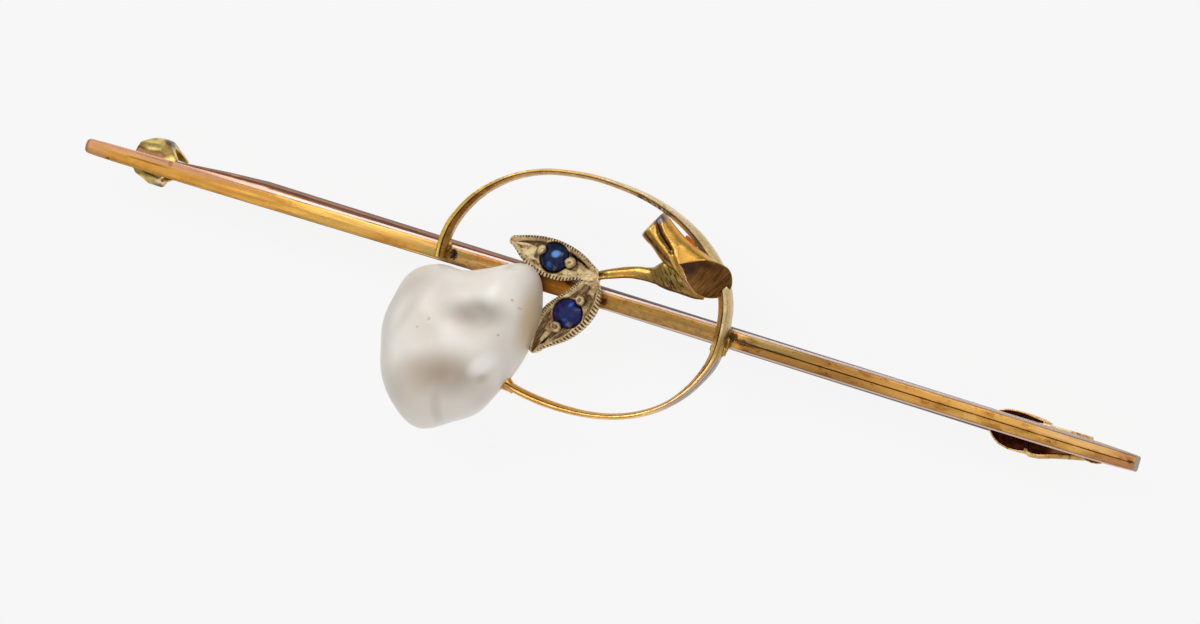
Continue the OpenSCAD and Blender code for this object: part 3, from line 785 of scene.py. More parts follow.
barSet = {
    "length": 57.0, "thick": 1.0, "drop": 0.2, "dropFrom": 3.0, "leftY": 0.1, "back": 2.15,
    "grooveFrom": 7.9, "groove": 0.035, "round": 0.3, "step": 0.5, "edgeTilt": 0.22,
    # x, width of the bar, width of its polished upper edge, of its lower edge
    "widths": [
        (-28.5, 0.74, 0.08, 0.05), (-27.3, 0.84, 0.1, 0.05), (-25.9, 0.88, 0.1, 0.05), (-24, 0.93, 0.12, 0.05),
        (-20, 0.95, 0.14, 0.05), (0, 0.97, 0.12, 0.08), (10, 1.0, 0.13, 0.09), (20, 1.02, 0.15, 0.09),
        (25, 1.0, 0.18, 0.09), (27, 0.93, 0.15, 0.08), (28.5, 0.8, 0.08, 0.06),
    ],
    "endLean": 0.14, "cutRound": 0.05, "crown": 0.02, "sag": 0.012, "line": 0.008,
    # how far out the points of the face and edges are, the edges from 0.8
    "across": (-1, -0.93, -0.86, -0.81, -0.79, -0.75, -0.6, -0.4, -0.2, -0.09, -0.04, 0,
               0.04, 0.09, 0.2, 0.4, 0.6, 0.75, 0.79, 0.81, 0.86, 0.93, 1),
    # extra sections close to the catch end and to the hinge end
    "nearEnds": ((0.008, 0.03, 0.07, 0.13, 0.2, 0.3), (0.02, 0.05)),
}
barFront = barSet["back"] + barSet["thick"]


def barY(x):
    s = barSet
    return s["leftY"] - s["drop"] * max(0, x - s["dropFrom"]) / (s["length"] / 2 - s["dropFrom"])


def barHalf(x):
    return onLine(barSet["widths"], x, 1) / 2


def makeBar(s):
    cols = s["across"]
    half = s["length"] / 2
    count = int(s["length"] / s["step"])
    stations = [-half + s["length"] * i / count for i in range(count + 1)]
    stations += [-half + d for d in s["nearEnds"][0]] + [half - d for d in s["nearEnds"][1]]
    stations = sorted(stations)
    rings = []
    for x in stations:
        w, y = barHalf(x), barY(x)
        # the catch end is rounded, the hinge end is cut off square
        r = s["round"] if x < 0 else s["cutRound"]
        fromEnd = half - abs(x)
        pull = 0 if fromEnd >= r else r - math.sqrt(max(0, r * r - (r - fromEnd) ** 2))
        w, front, back = w - pull, barFront - pull * 0.5, s["back"] + pull * 0.4
        high, low = onLine(s["widths"], x, 2), onLine(s["widths"], x, 3)
        high, low = min(high, w * 0.4), min(low, w * 0.4)
        lean = s["endLean"] * max(0, 1 - (half - x) / 0.3)
        tilt = s["edgeTilt"] * (0.3 + 0.7 * ease(-25, -17, x))
        right = ease(s["grooveFrom"], s["grooveFrom"] + 0.6, x) * ease(half - 0.3, half - 0.5, x)
        ring = []
        for c in cols:
            if c > 0.8:
                at, edge = w - high + (c - 0.8) / 0.2 * high, (c - 0.8) / 0.2 * high
            elif c < -0.8:
                at, edge = -w + low - (-c - 0.8) / 0.2 * low, (-c - 0.8) / 0.2 * low
            else:
                at, edge = -w + low + (c + 0.8) / 1.6 * (2 * w - high - low), 0
            line = s["line"] * math.exp(-((abs(c) - 0.8) / 0.02) ** 2)
            cutLine = right * s["groove"] * math.exp(-(c / 0.05) ** 2)
            sag = s["sag"] * noise.noise(Vector((x * 0.5, c * 2, 4.2))) if abs(c) < 0.8 else 0
            crown = s["crown"] * c * c * (1 - right)
            ring.append((x - lean, y + at, front - edge * tilt - line - cutLine - crown + sag - 0.01))
        for c, z in ((1, front - 0.3), (1, back + 0.16), (0.86, back), (0, back), (-0.86, back),
                     (-1, back + 0.16), (-1, front - 0.3)):
            ring.append((x - lean * (z - back) / s["thick"], y + c * w, z))
        rings.append(ring)
    cs = cols + (1, 1, 1, 0, -1, -1, -1)
    bm = newShape()
    loft(bm, rings, lambda i, j: {"across": cs[j] * (1 if j < len(cols) else 0.7), "along": stations[i]})
    finishPiece(rough(bm), "bar", ["bar"], 20)


makeBar(barSet)


# the oval ring and its peg


ringSet = {
    "length": 15.8, "height": 12.0, "wire": 0.36, "thick": 0.85, "sink": 0.15,
    "at": (-0.7, 0.1), "turn": -3.6, "from": -105, "to": 188, "steps": 176,
    "pegWidth": 0.6, "pegLength": 1.6, "pegTurn": 160, "wave": 0.04, "dent": 0.012,
    # angle, shift outwards, width as a share of the wire's
    "rows": [
        (-105, 0, 1.1), (-90, 0.01, 1.16), (-80, 0.05, 1.06), (-70, 0.12, 0.95), (-60, 0.18, 0.86),
        (-50, 0.2, 0.83), (-40, 0.17, 0.84), (-30, 0.08, 1), (-20, -0.01, 1.25), (-10, -0.05, 1.5),
        (0, -0.14, 1.75), (10, -0.15, 1.85), (25, -0.03, 1.95), (40, -0.02, 1.95), (50, 0.0, 1.65),
        (60, 0.0, 1.4), (75, -0.03, 1.15), (90, -0.07, 0.97), (100, -0.03, 0.85), (110, 0.02, 0.78),
        (120, 0.11, 0.75), (130, 0.14, 0.75), (140, 0.12, 0.86), (150, 0.08, 1.03), (160, 0.02, 1.17),
        (170, -0.01, 1.33), (188, -0.09, 1.33),
    ],
    # the peg: along it, and its half width, before it swells to its own
    "pegRows": [(-0.55, 0.2), (-0.35, 0.24), (-0.1, 0.33), (0.12, 0.4), (0.24, 0.4)],
}
# the wire's section: across from its inner to its outer side, and up
wireSection = [
    (-0.5, 0.05), (-0.5, 0.6), (-0.46, 0.67), (-0.3, 0.8), (-0.12, 0.955), (-0.08, 0.94), (-0.04, 0.985),
    (0.1, 1.0), (0.24, 0.998), (0.26, 0.985), (0.28, 0.995), (0.35, 0.98), (0.42, 0.9), (0.49, 0.8),
    (0.5, 0.74),
    (0.5, 0.05), (0.44, 0.0), (-0.44, 0.0),
]


def ringPoint(s, deg, side):
    t = math.radians(deg)
    o = Vector((math.cos(t) / s["length"], math.sin(t) / s["height"])).normalized()
    side += onLine(s["rows"], deg, 1)
    c = ((s["length"] - s["wire"]) / 2 * math.cos(t), (s["height"] - s["wire"]) / 2 * math.sin(t))
    return turned(c[0] + o[0] * side, c[1] + o[1] * side, s["turn"], s["at"])


def ringShape(s, grow=0.0):
    bm = newShape()
    rings, turns = [], []
    back = barFront - s["sink"]
    for i in range(s["steps"] + 1):
        deg = s["to"] + (s["from"] - s["to"]) * i / s["steps"]
        wide = s["wire"] * onLine(s["rows"], deg, 2)
        wave = 1 + s["wave"] * noise.noise(Vector((deg * 0.12, 3.1, 0)))
        ring = []
        for a, up in wireSection:
            dent = s["dent"] * noise.noise(Vector((deg * 0.2, a * 4, 1.3)))
            x, y = ringPoint(s, deg, a * (wide * wave + 2 * grow))
            ring.append((x, y, back + up * (s["thick"] + 2 * grow) - grow + dent * up))
        rings.append(ring)
        turns.append(deg)
    loft(bm, rings, lambda i, j: {"across": wireSection[j][0], "along": turns[i]})
    return bm


def pegShape(s, grow=0.0):
    bm = newShape()
    x, y = ringPoint(s, s["from"], 0)
    z = barFront - s["sink"] + s["thick"] / 2
    way = s["turn"] + s["pegTurn"]
    half = s["pegWidth"] / 2 + grow
    rows = s["pegRows"] + [(0.3, half), (s["pegLength"], half), (s["pegLength"] + 0.06, half * 0.8)]
    rings = []
    for along, r in rows:
        r = max(r, half * 0.6) + (grow if along > 0.1 else 0)
        rings.append(roundRing(turned(along, 0, way, (x, y)), z, r, way, 20))
    loft(bm, rings)
    return bm


finishPiece(rough(ringShape(ringSet)), "ovalRing", ["wire"])
finishPiece(soften(rough(pegShape(ringSet)), 0.03), "pearlPeg", ["peg"])


# the pearl


pearlSet = {
    "reach": 4.4, "deep": 7.0, "at": (-6.0, -4.1), "gap": 0.05, "around": 120, "up": 90,
    "boreExtra": 0.2, "boreUp": 0.15,
    # every 20 degrees: share of the reach, share of the rise
    "rows": [
        (0.785, 0.1), (0.895, 0.13), (1.1, 0.18), (1.245, 0.2), (0.95, 0.18), (0.83, 0.14),
        (0.93, 0.1), (0.985, 0.07), (0.93, 0.03), (0.925, 0), (0.915, 0), (0.98, 0),
        (1.045, 0), (1.095, 0), (0.925, 0), (0.84, 0), (0.74, 0.02), (0.73, 0.06),
    ],
    # hollows and swellings of the front: place, size and depth as shares of the reach
    "dents": [
        (0.1, 0.5, 0.3, -0.11), (0.02, 0.86, 0.2, -0.1), (-0.2, -0.16, 0.24, -0.06),
        (-0.28, -0.5, 0.2, -0.05), (0.42, -0.3, 0.26, 0.05), (0.3, 0.4, 0.12, -0.02), (0.48, -0.16, 0.12, 0.02),
    ],
    # small pits: place in mm, size, depth
    "pits": [
        (-7.02, -3.35, 0.09, 0.05), (-7.49, -3.89, 0.07, 0.03), (-3.3, -1.24, 0.09, 0.06),
        (-2.9, -1.53, 0.08, 0.03), (-3.89, 0.16, 0.07, 0.05), (-3.68, 0.33, 0.07, 0.05),
        (-3.46, -3.12, 0.07, 0.03), (-3.7, -4.5, 0.1, 0.04), (-4.0, -5.0, 0.1, 0.04),
    ],
}


def makePearl(s):
    bm = newShape()
    bmesh.ops.create_uvsphere(bm, u_segments=s["around"], v_segments=s["up"], radius=1)
    r = s["reach"]
    reaches, rises = zip(*s["rows"])
    for v in bm.verts:
        lift = math.asin(max(-1, min(1, v.co.z)))
        deg = math.degrees(math.atan2(v.co.y, v.co.x)) % 360
        out = aroundLine(reaches, deg / 20) * r * math.cos(lift)
        x, y = out * math.cos(math.radians(deg)), out * math.sin(math.radians(deg))
        rim = aroundLine(rises, deg / 20) * r * math.cos(lift) ** 2
        dent = sum(d * math.exp(-(math.hypot(x / r - px, y / r - py) / w) ** 2)
                   for px, py, w, d in s["dents"])
        z = rim + math.sin(lift) * s["deep"] / 2 + max(0, math.sin(lift)) * dent * r + s["deep"] / 2
        x, y = x + s["at"][0], y + s["at"][1]
        if lift > 0:
            z -= sum(d * math.exp(-((x - px) ** 2 + (y - py) ** 2) / w**2)
                     for px, py, w, d in s["pits"])
        v.co = (x, y, z)
    pearl = rough(bm)
    carve(pearl, rough(ringShape(ringSet, s["gap"])))
    carve(pearl, rough(pegShape(ringSet, s["gap"])))
    # the back is cut away for the bar and the pin
    x0, x1 = s["at"][0] - r * 1.5, s["at"][0] + r * 1.5
    wide = barSet["thick"] + s["boreExtra"]
    boreY = barY(s["at"][0]) - barHalf(s["at"][0]) - s["gap"] + wide * 0.55
    boreZ = barSet["back"] + s["boreUp"]
    bore = newShape()
    loft(bore, [roundRing((x, boreY), boreZ, wide, 0, 48) for x in (x0, x1)])
    carve(pearl, rough(bore))
    low, high = boreY - wide, boreY + 2 * wide
    carve(pearl, rough(prism([(x0, low), (x1, low), (x1, high), (x0, high)], -1, boreZ)))
    finishPiece(pearl, "baroquePearl", ["pearl"], 50, node="pearl")


makePearl(pearlSet)


# the leaves, their beads and stones


leafBack = barFront - 0.05
leafSet = {
    "thick": 0.62, "rim": 0.1, "rimFall": 0.12, "sink": 0.1, "stone": 1.46, "seatDeep": 0.42, "collar": 0.06,
    "lumps": 0.022, "cells": (170, 56), "backShare": 0.97, "runSteps": 200,
}
leaves = [
    {
        "name": "leafUpper", "root": (0.0, 1.2), "turn": 174.8, "length": 4.95, "seat": (2.5, -0.02),
        # share along, right side, left side (seen from the root towards the tip)
        "edge": [
            (0, 0.05, 0.2), (0.03, 0.23, 0.36), (0.11, 0.413, 0.48), (0.2, 0.63, 0.62), (0.33, 0.828, 0.93),
            (0.465, 0.904, 1.062), (0.6, 0.875, 1.04), (0.72, 0.76, 0.88), (0.84, 0.566, 0.6),
            (0.94, 0.36, 0.24), (0.985, 0.26, 0.15), (1, 0.14, 0.06),
        ],
        # which side, distance from notch to notch, how far in they reach, how deep, share along from and to
        "notches": [(1, 0.15, 0.84, 0.08, 0.06, 0.99), (-1, 0.18, 0.84, 0.1, 0.16, 0.99)],
        # facets and engraving: share along, across, their sizes, turn, dark, pale, height; dark is engraving
        # and painted shade in sunk cuts, pale a painted highlight on a facet
        "cuts": [
            (0.78, -0.42, 0.16, 0.3, -30, 0, 0.95, 0.05), (0.86, 0.12, 0.08, 0.14, -20, 0, 0.9, 0.05),
            (0.76, 0.48, 0.16, 0.22, 10, 0.5, 0, -0.05), (0.62, 0.66, 0.12, 0.14, 10, 0.5, 0, -0.04),
            (0.28, -0.5, 0.13, 0.2, 10, 0, 0.85, 0.05), (0.14, -0.1, 0.1, 0.3, 0, 0, 0.7, 0.06),
            (0.22, 0.2, 0.1, 0.2, 30, 0.2, 0.3, 0.03), (0.2, 0.42, 0.22, 0.07, 8, 0.95, 0, -0.08),
            (0.33, 0.28, 0.06, 0.2, 0, 0.6, 0, -0.06), (0.1, 0.5, 0.1, 0.2, 0, 0.4, 0, -0.03),
            (0.66, -0.1, 0.05, 0.3, 0, 0.45, 0, -0.04), (0.34, -0.2, 0.05, 0.12, 0, 0.9, 0, -0.05),
        ],
    },
    {
        "name": "leafLower", "root": (0.0, 1.2), "turn": 245.2, "length": 5.18, "seat": (2.5, -0.066),
        "edge": [
            (0, 0.3, 0.05), (0.05, 0.4, 0.2), (0.1, 0.47, 0.58), (0.17, 0.54, 0.87), (0.29, 0.66, 1.115),
            (0.42, 0.87, 1.19), (0.56, 1.046, 1.11), (0.69, 1.01, 0.9), (0.81, 0.836, 0.56),
            (0.91, 0.615, 0.24), (0.98, 0.42, 0.12), (1, 0.28, 0.06),
        ],
        "notches": [(-1, 0.19, 0.8, 0.1, 0.06, 0.96), (1, 0.13, 0.84, 0.07, 0.12, 0.74)],
        "cuts": [
            (0.88, 0.5, 0.14, 0.4, 0, 0.5, 0, 0.02), (0.76, 0.62, 0.12, 0.24, 0, 0.42, 0, 0.0),
            (0.9, -0.25, 0.12, 0.12, -20, 0.95, 0, -0.1), (0.8, 0.1, 0.06, 0.14, 0, 0, 0.8, 0.04),
            (0.8, -0.36, 0.14, 0.16, -20, 0.1, 0.5, 0.03), (0.72, -0.2, 0.06, 0.14, 0, 0.6, 0, -0.06),
            (0.25, -0.3, 0.05, 0.12, 30, 0.7, 0, -0.06), (0.2, -0.05, 0.07, 0.1, 0, 0.7, 0, -0.08),
            (0.13, -0.25, 0.08, 0.3, 0, 0.15, 0.4, 0.05), (0.2, 0.4, 0.1, 0.25, 0, 0.25, 0.1, 0.03),
            (0.08, 0.1, 0.07, 0.5, 0, 0.15, 0.35, 0.06), (0.32, 0.4, 0.08, 0.14, 0, 0.5, 0, -0.04),
        ],
    },
]
# place in mm, radius, height over the leaf, how deep a crater
prongs = [
    ((-3.17, 1.62), (0.22, 0.32), -24, 0.06), ((-1.55, 1.4), (0.32, 0.3), 30, 0.14),
    ((-0.5, -0.28), (0.27, 0.25), -50, 0.26), ((-1.32, -1.91), (0.31, 0.3), 0, 0.34),
]


def leafEdge(leaf, u, v):
    # how far the outline stands off the line from root to tip
    return onLine(leaf["edge"], u, 1 if v > 0 else 2)


def leafRuns(leaf):
    # length of each side of the outline up to a share along it
    runs, steps = {}, leafSet["runSteps"]
    for side in (1, -1):
        last, total, rows = None, 0, []
        for k in range(steps + 1):
            u = k / steps
            here = (u * leaf["length"], leafEdge(leaf, u, side))
            total += math.dist(last, here) if last else 0
            last = here
            rows.append(total)
        runs[side] = rows
    return runs


def leafFold(leaf, runs, u, v, x, y):
    # height over the plate; how dark it is, from the engraver's tool and from painted shade in notches, sunk
    # cuts and round the stone; how pale it is, a painted highlight on facets and the rim
    s = leafSet
    side = 1 if v > 0 else -1
    sx, sy = leaf["seat"]
    r = math.hypot(x - sx, y - sy)
    near = abs(v) * leafEdge(leaf, u, v)
    edge = leafEdge(leaf, u, v) - near
    isRim = ease(0.36, 0.26, edge) * ease(s["stone"] / 2 + 0.04, s["stone"] / 2 + 0.12, r)
    inside = 1 - isRim
    z = isRim * (s["rim"] - s["rimFall"] * ease(0.04, 0.34, edge)) - s["sink"] * inside
    deep = 0.35 * inside * ease(0.2, 0.36, edge) * ease(0.56, 0.4, edge)
    # the rim is painted pale, a painted highlight
    pale = 0.55 * isRim
    for way, pitch, reach, cutDeep, start, stop in leaf["notches"]:
        if way == side and start < u < stop:
            k = u * s["runSteps"]
            run, after = (runs[side][min(s["runSteps"], int(k) + n)] for n in (0, 1))
            run += (k - int(k)) * (after - run)
            tooth = abs((run / pitch + 0.06 * noise.noise(Vector((run * 2, 0, 0)))) % 1 - 0.5) * 2
            notch = ease(0.5, 0.9, tooth) * ease(reach - 0.06, reach + 0.02, abs(v))
            z -= cutDeep * notch
            # the gap of a notch is painted dark, a painted shade
            deep = max(deep, 0.85 * notch)
            pale *= 1 - notch
    for cu, cv, wu, wv, turn, dark, light, up in leaf["cuts"]:
        a = math.radians(turn)
        du, dv = (u - cu) * 5, v - cv
        pu, pv = du * math.cos(a) + dv * math.sin(a), dv * math.cos(a) - du * math.sin(a)
        share = ease(1.15, 0.85, max(abs(pu) / (wu * 5), abs(pv) / wv)) * inside
        z += up * share * (1 + 0.6 * pu)
        deep = deep * (1 - share) + share * max(deep * (1 - light), dark)
        pale = max(pale * (1 - dark * share), light * share)
    collar = math.exp(-((r - s["stone"] / 2 - 0.08) / 0.07) ** 2)
    z += s["collar"] * collar
    deep = max(deep * (1 - 0.6 * collar), 0.95 * math.exp(-((r - s["stone"] / 2 - 0.01) / 0.05) ** 2))
    if r < s["stone"] / 2 + 0.02:
        z, deep, pale = -s["seatDeep"], 1.0, 0.0
    z += s["lumps"] * inside * noise.noise(Vector((x * 5, y * 5, 1.7)))
    return z, deep, pale


def makeLeaf(leaf):
    s = leafSet
    runs = leafRuns(leaf)
    bm = newShape()
    bmesh.ops.create_grid(bm, x_segments=s["cells"][0], y_segments=s["cells"][1], size=1)
    top = leafBack + s["thick"]
    for v in bm.verts:
        u, w = (v.co.x + 1) / 2, v.co.y
        u = u - 0.02 * math.sin(2 * math.pi * u)
        w = w * (1.25 - 0.25 * w * w)
        x, y = u * leaf["length"], w * leafEdge(leaf, u, w)
        z, deep, pale = leafFold(leaf, runs, u, w, x, y)
        px, py = turned(x, -y, leaf["turn"], leaf["root"])
        mark(bm, v, deep=min(1, deep), pale=pale, across=w, along=u)
        v.co = (px, py, top + z)
    border = [e for e in bm.edges if e.is_boundary]
    made = bmesh.ops.extrude_edge_only(bm, edges=border)["geom"]
    low = [g for g in made if isinstance(g, bmesh.types.BMVert)]
    mid = Vector(turned(leaf["length"] / 2, 0, leaf["turn"], leaf["root"])).to_3d()
    for v in low:
        v.co.z = leafBack
        v.co.xy = mid.xy + (v.co.xy - mid.xy) * s["backShare"]
    bmesh.ops.contextual_create(bm, geom=[e for e in bm.edges if e.is_boundary])
    bmesh.ops.remove_doubles(bm, verts=bm.verts, dist=0.002)
    finishPiece(rough(bm), leaf["name"], ["leaf"], 40)


def makeProngs():
    # grains pushed over the edge of each stone, lumpy from the tool
    bm = newShape()
    for (px, py), (rx, ry), turn, crater in prongs:
        at = Vector((px, py, leafBack + leafSet["thick"] + 0.1))
        ball = bmesh.ops.create_uvsphere(bm, u_segments=24, v_segments=16, radius=1)["verts"]
        for v in ball:
            d = v.co.copy()
            out = 1 + 0.16 * noise.noise(d * 1.9 + at)
            away = math.hypot(d.x, d.y)
            dip = crater * math.exp(-(away / 0.42) ** 2) if d.z > 0 else 0
            foot = ease(0.5, 0.1, d.z)
            # their feet and craters are marked dark as painted shade, their tops pale as a painted highlight
            mark(bm, v, deep=min(1, dip * 2.2 + foot), pale=0.8 * ease(0.3, 0.8, d.z) * ease(0.2, 0.06, dip))
            x, y = turned(d.x * rx * out, d.y * ry * out, turn, at)
            v.co = (x, y, at.z + (d.z * 1.4 - dip) * min(rx, ry) * out)
    finishPiece(rough(bm), "prongs", ["leaf"], 60)


for leaf in leaves:
    makeLeaf(leaf)
makeProngs()


# glows are painted reflections in each stone: place, size, turn, tone
stones = [
    {"name": "sapphireUpper", "node": "sapphire_upper", "at": (-2.488, 1.446), "turn": 12,
     "hues": ((6, 10, 32), (14, 30, 74), (8, 16, 52)),
     "glows": (((-2.4, 1.62, 4.0), (0.34, 0.26, 0.8), 30, (96, 150, 214)),
               ((-2.6, 1.0, 4.0), (0.2, 0.24, 0.8), 40, (34, 84, 160)))},
    {"name": "sapphireLower", "node": "sapphire_lower", "at": (-0.99, -1.1), "turn": 30,
     "hues": ((12, 14, 52), (34, 38, 104), (16, 24, 84)),
     "glows": (((-0.95, -1.1, 4.0), (0.24, 0.5, 0.8), -34, (14, 30, 84)),
               ((-0.9, -0.6, 4.0), (0.14, 0.24, 0.8), -30, (40, 92, 180)),
               ((-1.0, -1.45, 4.0), (0.22, 0.14, 0.8), 10, (26, 62, 128)))},
]


# rings of a stone's corners: count, share of the radius, height, half a step of turn or not
stoneRings = ((16, 1.0, 0.0, 0), (16, 1.0, 0.08, 0), (8, 0.8, 0.2, 0.5),
              (8, 0.56, 0.3, 0), (8, 0.5, -0.2, 0.5), (8, 0.12, -0.34, 0))


def makeStone(s):
    px, py = s["at"]
    girdle = leafBack + leafSet["thick"] * 0.82
    r = leafSet["stone"] / 2
    bm = newShape()
    for count, share, up, shift in stoneRings:
        ring = bmesh.ops.create_circle(bm, segments=count, radius=r * share)["verts"]
        spin = Matrix.Rotation(2 * math.pi / count * shift + math.radians(s["turn"]), 4, "Z")
        bmesh.ops.transform(bm, matrix=Matrix.Translation((px, py, girdle + up)) @ spin, verts=ring)
    bmesh.ops.convex_hull(bm, input=bm.verts)
    bmesh.ops.dissolve_limit(bm, angle_limit=0.01, verts=bm.verts, edges=bm.edges)
    loose = [e for e in bm.edges if not e.link_faces]
    bmesh.ops.delete(bm, geom=loose, context="EDGES")
    finishes[s["name"]] = sapphire(s["name"], (px, py, girdle), s["turn"], s["hues"], s["glows"])
    finishPiece(rough(bm), s["name"], [s["name"]], 4, node=s["node"])


for s in stones:
    makeStone(s)


# the twig


twigSet = {
    "logAt": (2.0, 4.45), "logTurn": -29, "logLength": 4.5, "logWidth": 1.56, "logZ": barFront + 1.56 * 0.77,
    "ridgeHigh": 0.09, "grooveDeep": 0.17, "wave": 0.014,
    # share along, aside, share of the width, lean of the face
    "log": [(0.01, 0.012, 0.98, -0.12), (0.1, 0.008, 1.0, 0.0), (0.18, 0.002, 0.98, 0.06),
            (0.34, -0.01, 0.98, 0.04), (0.46, -0.01, 1.0, 0.1)],
    # the cut face: shares along and aside, all round it from its upper side over its top corner
    "face": [
        (0.765, 0.526), (0.715, 0.38), (0.671, 0.208), (0.623, -0.001), (0.578, -0.234), (0.628, -0.271),
        (0.677, -0.346), (0.725, -0.409), (0.762, -0.475), (0.902, -0.558), (1.024, -0.408), (1.118, -0.067),
        (1.127, 0.314), (1.07, 0.582), (0.979, 0.745), (0.88, 0.697),
    ],
    "faceTop": 0.545, "faceTopAt": 0.578, "faceFall": 1.8, "bend": 0.46,
    "around": 72, "rings": 46, "stemAround": 32, "stemSteps": 56,
    # angle round the log where the ridge and the groove run, by share along it
    "ridge": [(0.0, 109), (0.26, 112), (0.46, 116), (0.62, 130), (0.8, 152), (1.0, 172)],
    "groove": [(0.0, 62), (0.07, 69), (0.2, 88), (0.34, 96), (0.46, 104), (0.6, 104)],
    # how far the flank stands out on the stem's side, by share along the log
    "flank": [(0.0, 0.1), (0.1, 0.09), (0.18, 0.07), (0.34, 0.14), (0.46, 0.15), (0.62, 0.06), (0.8, 0)],
    # the stem and its web to the log: place, half width, height, half height, rise towards the log
    "stem": [
        (-0.25, 1.04, 0.2, 3.5, 0.2, 0), (0.1, 1.26, 0.23, 3.52, 0.22, 0), (0.55, 1.46, 0.26, 3.53, 0.24, 0),
        (0.95, 1.62, 0.27, 3.54, 0.25, 0), (1.45, 1.8, 0.3, 3.56, 0.26, 0), (1.95, 1.9, 0.33, 3.6, 0.28, 0.05),
        (2.45, 1.96, 0.36, 3.66, 0.3, 0.04), (2.75, 2.01, 0.42, 3.7, 0.34, 0.1),
        (2.95, 2.1, 0.53, 3.76, 0.38, 0.22), (3.2, 2.2, 0.68, 3.84, 0.44, 0.34),
        (3.8, 2.14, 0.67, 3.84, 0.44, 0.36), (4.4, 2.02, 0.56, 3.8, 0.4, 0.3),
        (5.0, 1.86, 0.42, 3.78, 0.34, 0.2), (5.5, 1.8, 0.28, 3.78, 0.24, 0.1),
    ],
}


def facePoint(s, t):
    q = aroundLine([Vector(p) for p in s["face"]], t * len(s["face"]) / 360)
    x, y = turned(q.x * s["logLength"], q.y * s["logWidth"], s["logTurn"], s["logAt"])
    up = s["faceTop"] - s["faceFall"] * (q.x - s["faceTopAt"])
    return Vector((x, y, s["logZ"] + up * s["logWidth"]))


def logCentre(s, k):
    x, y = turned(k * s["logLength"], onLine(s["log"], k, 1) * s["logLength"], s["logTurn"], s["logAt"])
    return Vector((x, y, s["logZ"]))


def logPoint(s, k, t):
    # k runs from the stub to the last round ring at the bend, then to the face at 1
    row = min(k, s["bend"])
    a, c = math.radians(t), logCentre(s, row)
    way = math.radians(s["logTurn"])
    r = onLine(s["log"], row, 2) * s["logWidth"] / 2
    on = -onLine(s["log"], row, 3) * s["logWidth"] * math.sin(a)
    p = c + Vector((-math.sin(way) * r * math.cos(a) + on * math.cos(way),
                    math.cos(way) * r * math.cos(a) + on * math.sin(way), r * math.sin(a)))
    share = max(0, (k - s["bend"]) / (1 - s["bend"]))
    if share:
        corners = len(s["face"])
        far = sum((facePoint(s, n * 360 / corners) for n in range(corners)), Vector()) / corners
        p, c = p.lerp(facePoint(s, t), share), c.lerp(far, share)
    out = (p - c).normalized()
    ridge, groove = logMarks(s, k, t)
    flank = onLine(s["flank"], k) * math.exp(-((t - 188) / 34) ** 2)
    wave = s["wave"] * math.sin(math.radians(t * 3 + 40)) * (1 - share)
    return p + out * (s["ridgeHigh"] * ridge - s["grooveDeep"] * groove + flank + wave)


def logMarks(s, k, t):
    ridge = math.exp(-((t - onLine(s["ridge"], k)) / 8.5) ** 2) * ease(1.02, 0.9, k)
    wide = 15 - 16 * k
    groove = math.exp(-((t - onLine(s["groove"], k)) / max(3, wide)) ** 2) * ease(0.62, 0.36, k)
    return ridge, groove


def logShade(s, k, t):
    ridge, groove = logMarks(s, k, t)
    side = 0.5 * math.exp(-((t - 140) / 9) ** 2) * ease(0.9, 0.5, k)
    lip = 0.45 * math.exp(-((t - 84) / 30) ** 2) * ease(0.93, 1.0, k)
    return {"deep": min(1, max(groove, side * 0.8)), "pale": max(ridge, lip), "along": k}


def makeTwig(s):
    m, steps = s["around"], s["rings"]
    ks = [0.01, 0.016, 0.03] + [0.05 + 0.95 * i / steps for i in range(steps + 1)]
    ts = [360 * j / m for j in range(m)]
    rings = [[logPoint(s, k, t) for t in ts] for k in ks]
    # the stub's end is rounded
    for i, shrink in ((0, 0.95), (1, 0.985), (2, 0.995)):
        c = sum(rings[i], Vector()) / m
        rings[i] = [c + (p - c) * shrink for p in rings[i]]
    bm = newShape()
    stub, cutEnd = loft(bm, rings, lambda i, j: logShade(s, ks[i], ts[j]))
    bmesh.ops.inset_region(bm, faces=[stub], thickness=0.1, depth=-0.04)
    # the cut face has a rubbed rim and is a little hollow
    bmesh.ops.inset_region(bm, faces=[cutEnd], thickness=0.035, depth=0.0)
    inner = bmesh.ops.inset_region(bm, faces=[cutEnd], thickness=0.03, depth=-0.03)["faces"]
    inner += bmesh.ops.poke(bm, faces=[cutEnd], offset=-0.06)["faces"]
    for f in inner:
        f.material_index = 1
    finishPiece(rough(bm), "twigLog", ["twig", "cut"], 50)
    # the stem
    bm = newShape()
    rows, steps, n = s["stem"], s["stemSteps"], s["stemAround"]
    places = [rows[0][0] + (rows[-1][0] - rows[0][0]) * i / steps for i in range(steps + 1)]
    rings = []
    for x in places:
        y, half, z, tall, rise = (onLine(rows, x, c) for c in (1, 2, 3, 4, 5))
        # square to the stem's line, but along Y where the web widens
        way = math.atan((onLine(rows, x + 0.05, 1) - onLine(rows, x - 0.05, 1)) / 0.1) * ease(3.2, 2.4, x)
        ring = []
        for a in (2 * math.pi * j / n for j in range(n)):
            lump = 1 + 0.05 * noise.noise(Vector((x * 1.6, math.cos(a) * 2, math.sin(a) * 2)))
            side = half * math.cos(a) * lump
            up = tall * math.sin(a) * lump + rise * math.cos(a)
            ring.append((x - side * math.sin(way), y + side * math.cos(way), z + up))
        rings.append(ring)

    def shade(i, j):
        crease = math.exp(-((j * 360 / n - 166) / 22) ** 2)
        return {"deep": 0.55 * crease * ease(0.6, 1.0, places[i]), "along": places[i]}

    loft(bm, rings, shade)
    finishPiece(rough(bm), "twigStem", ["twig"], 60)


makeTwig(twigSet)


# the catch


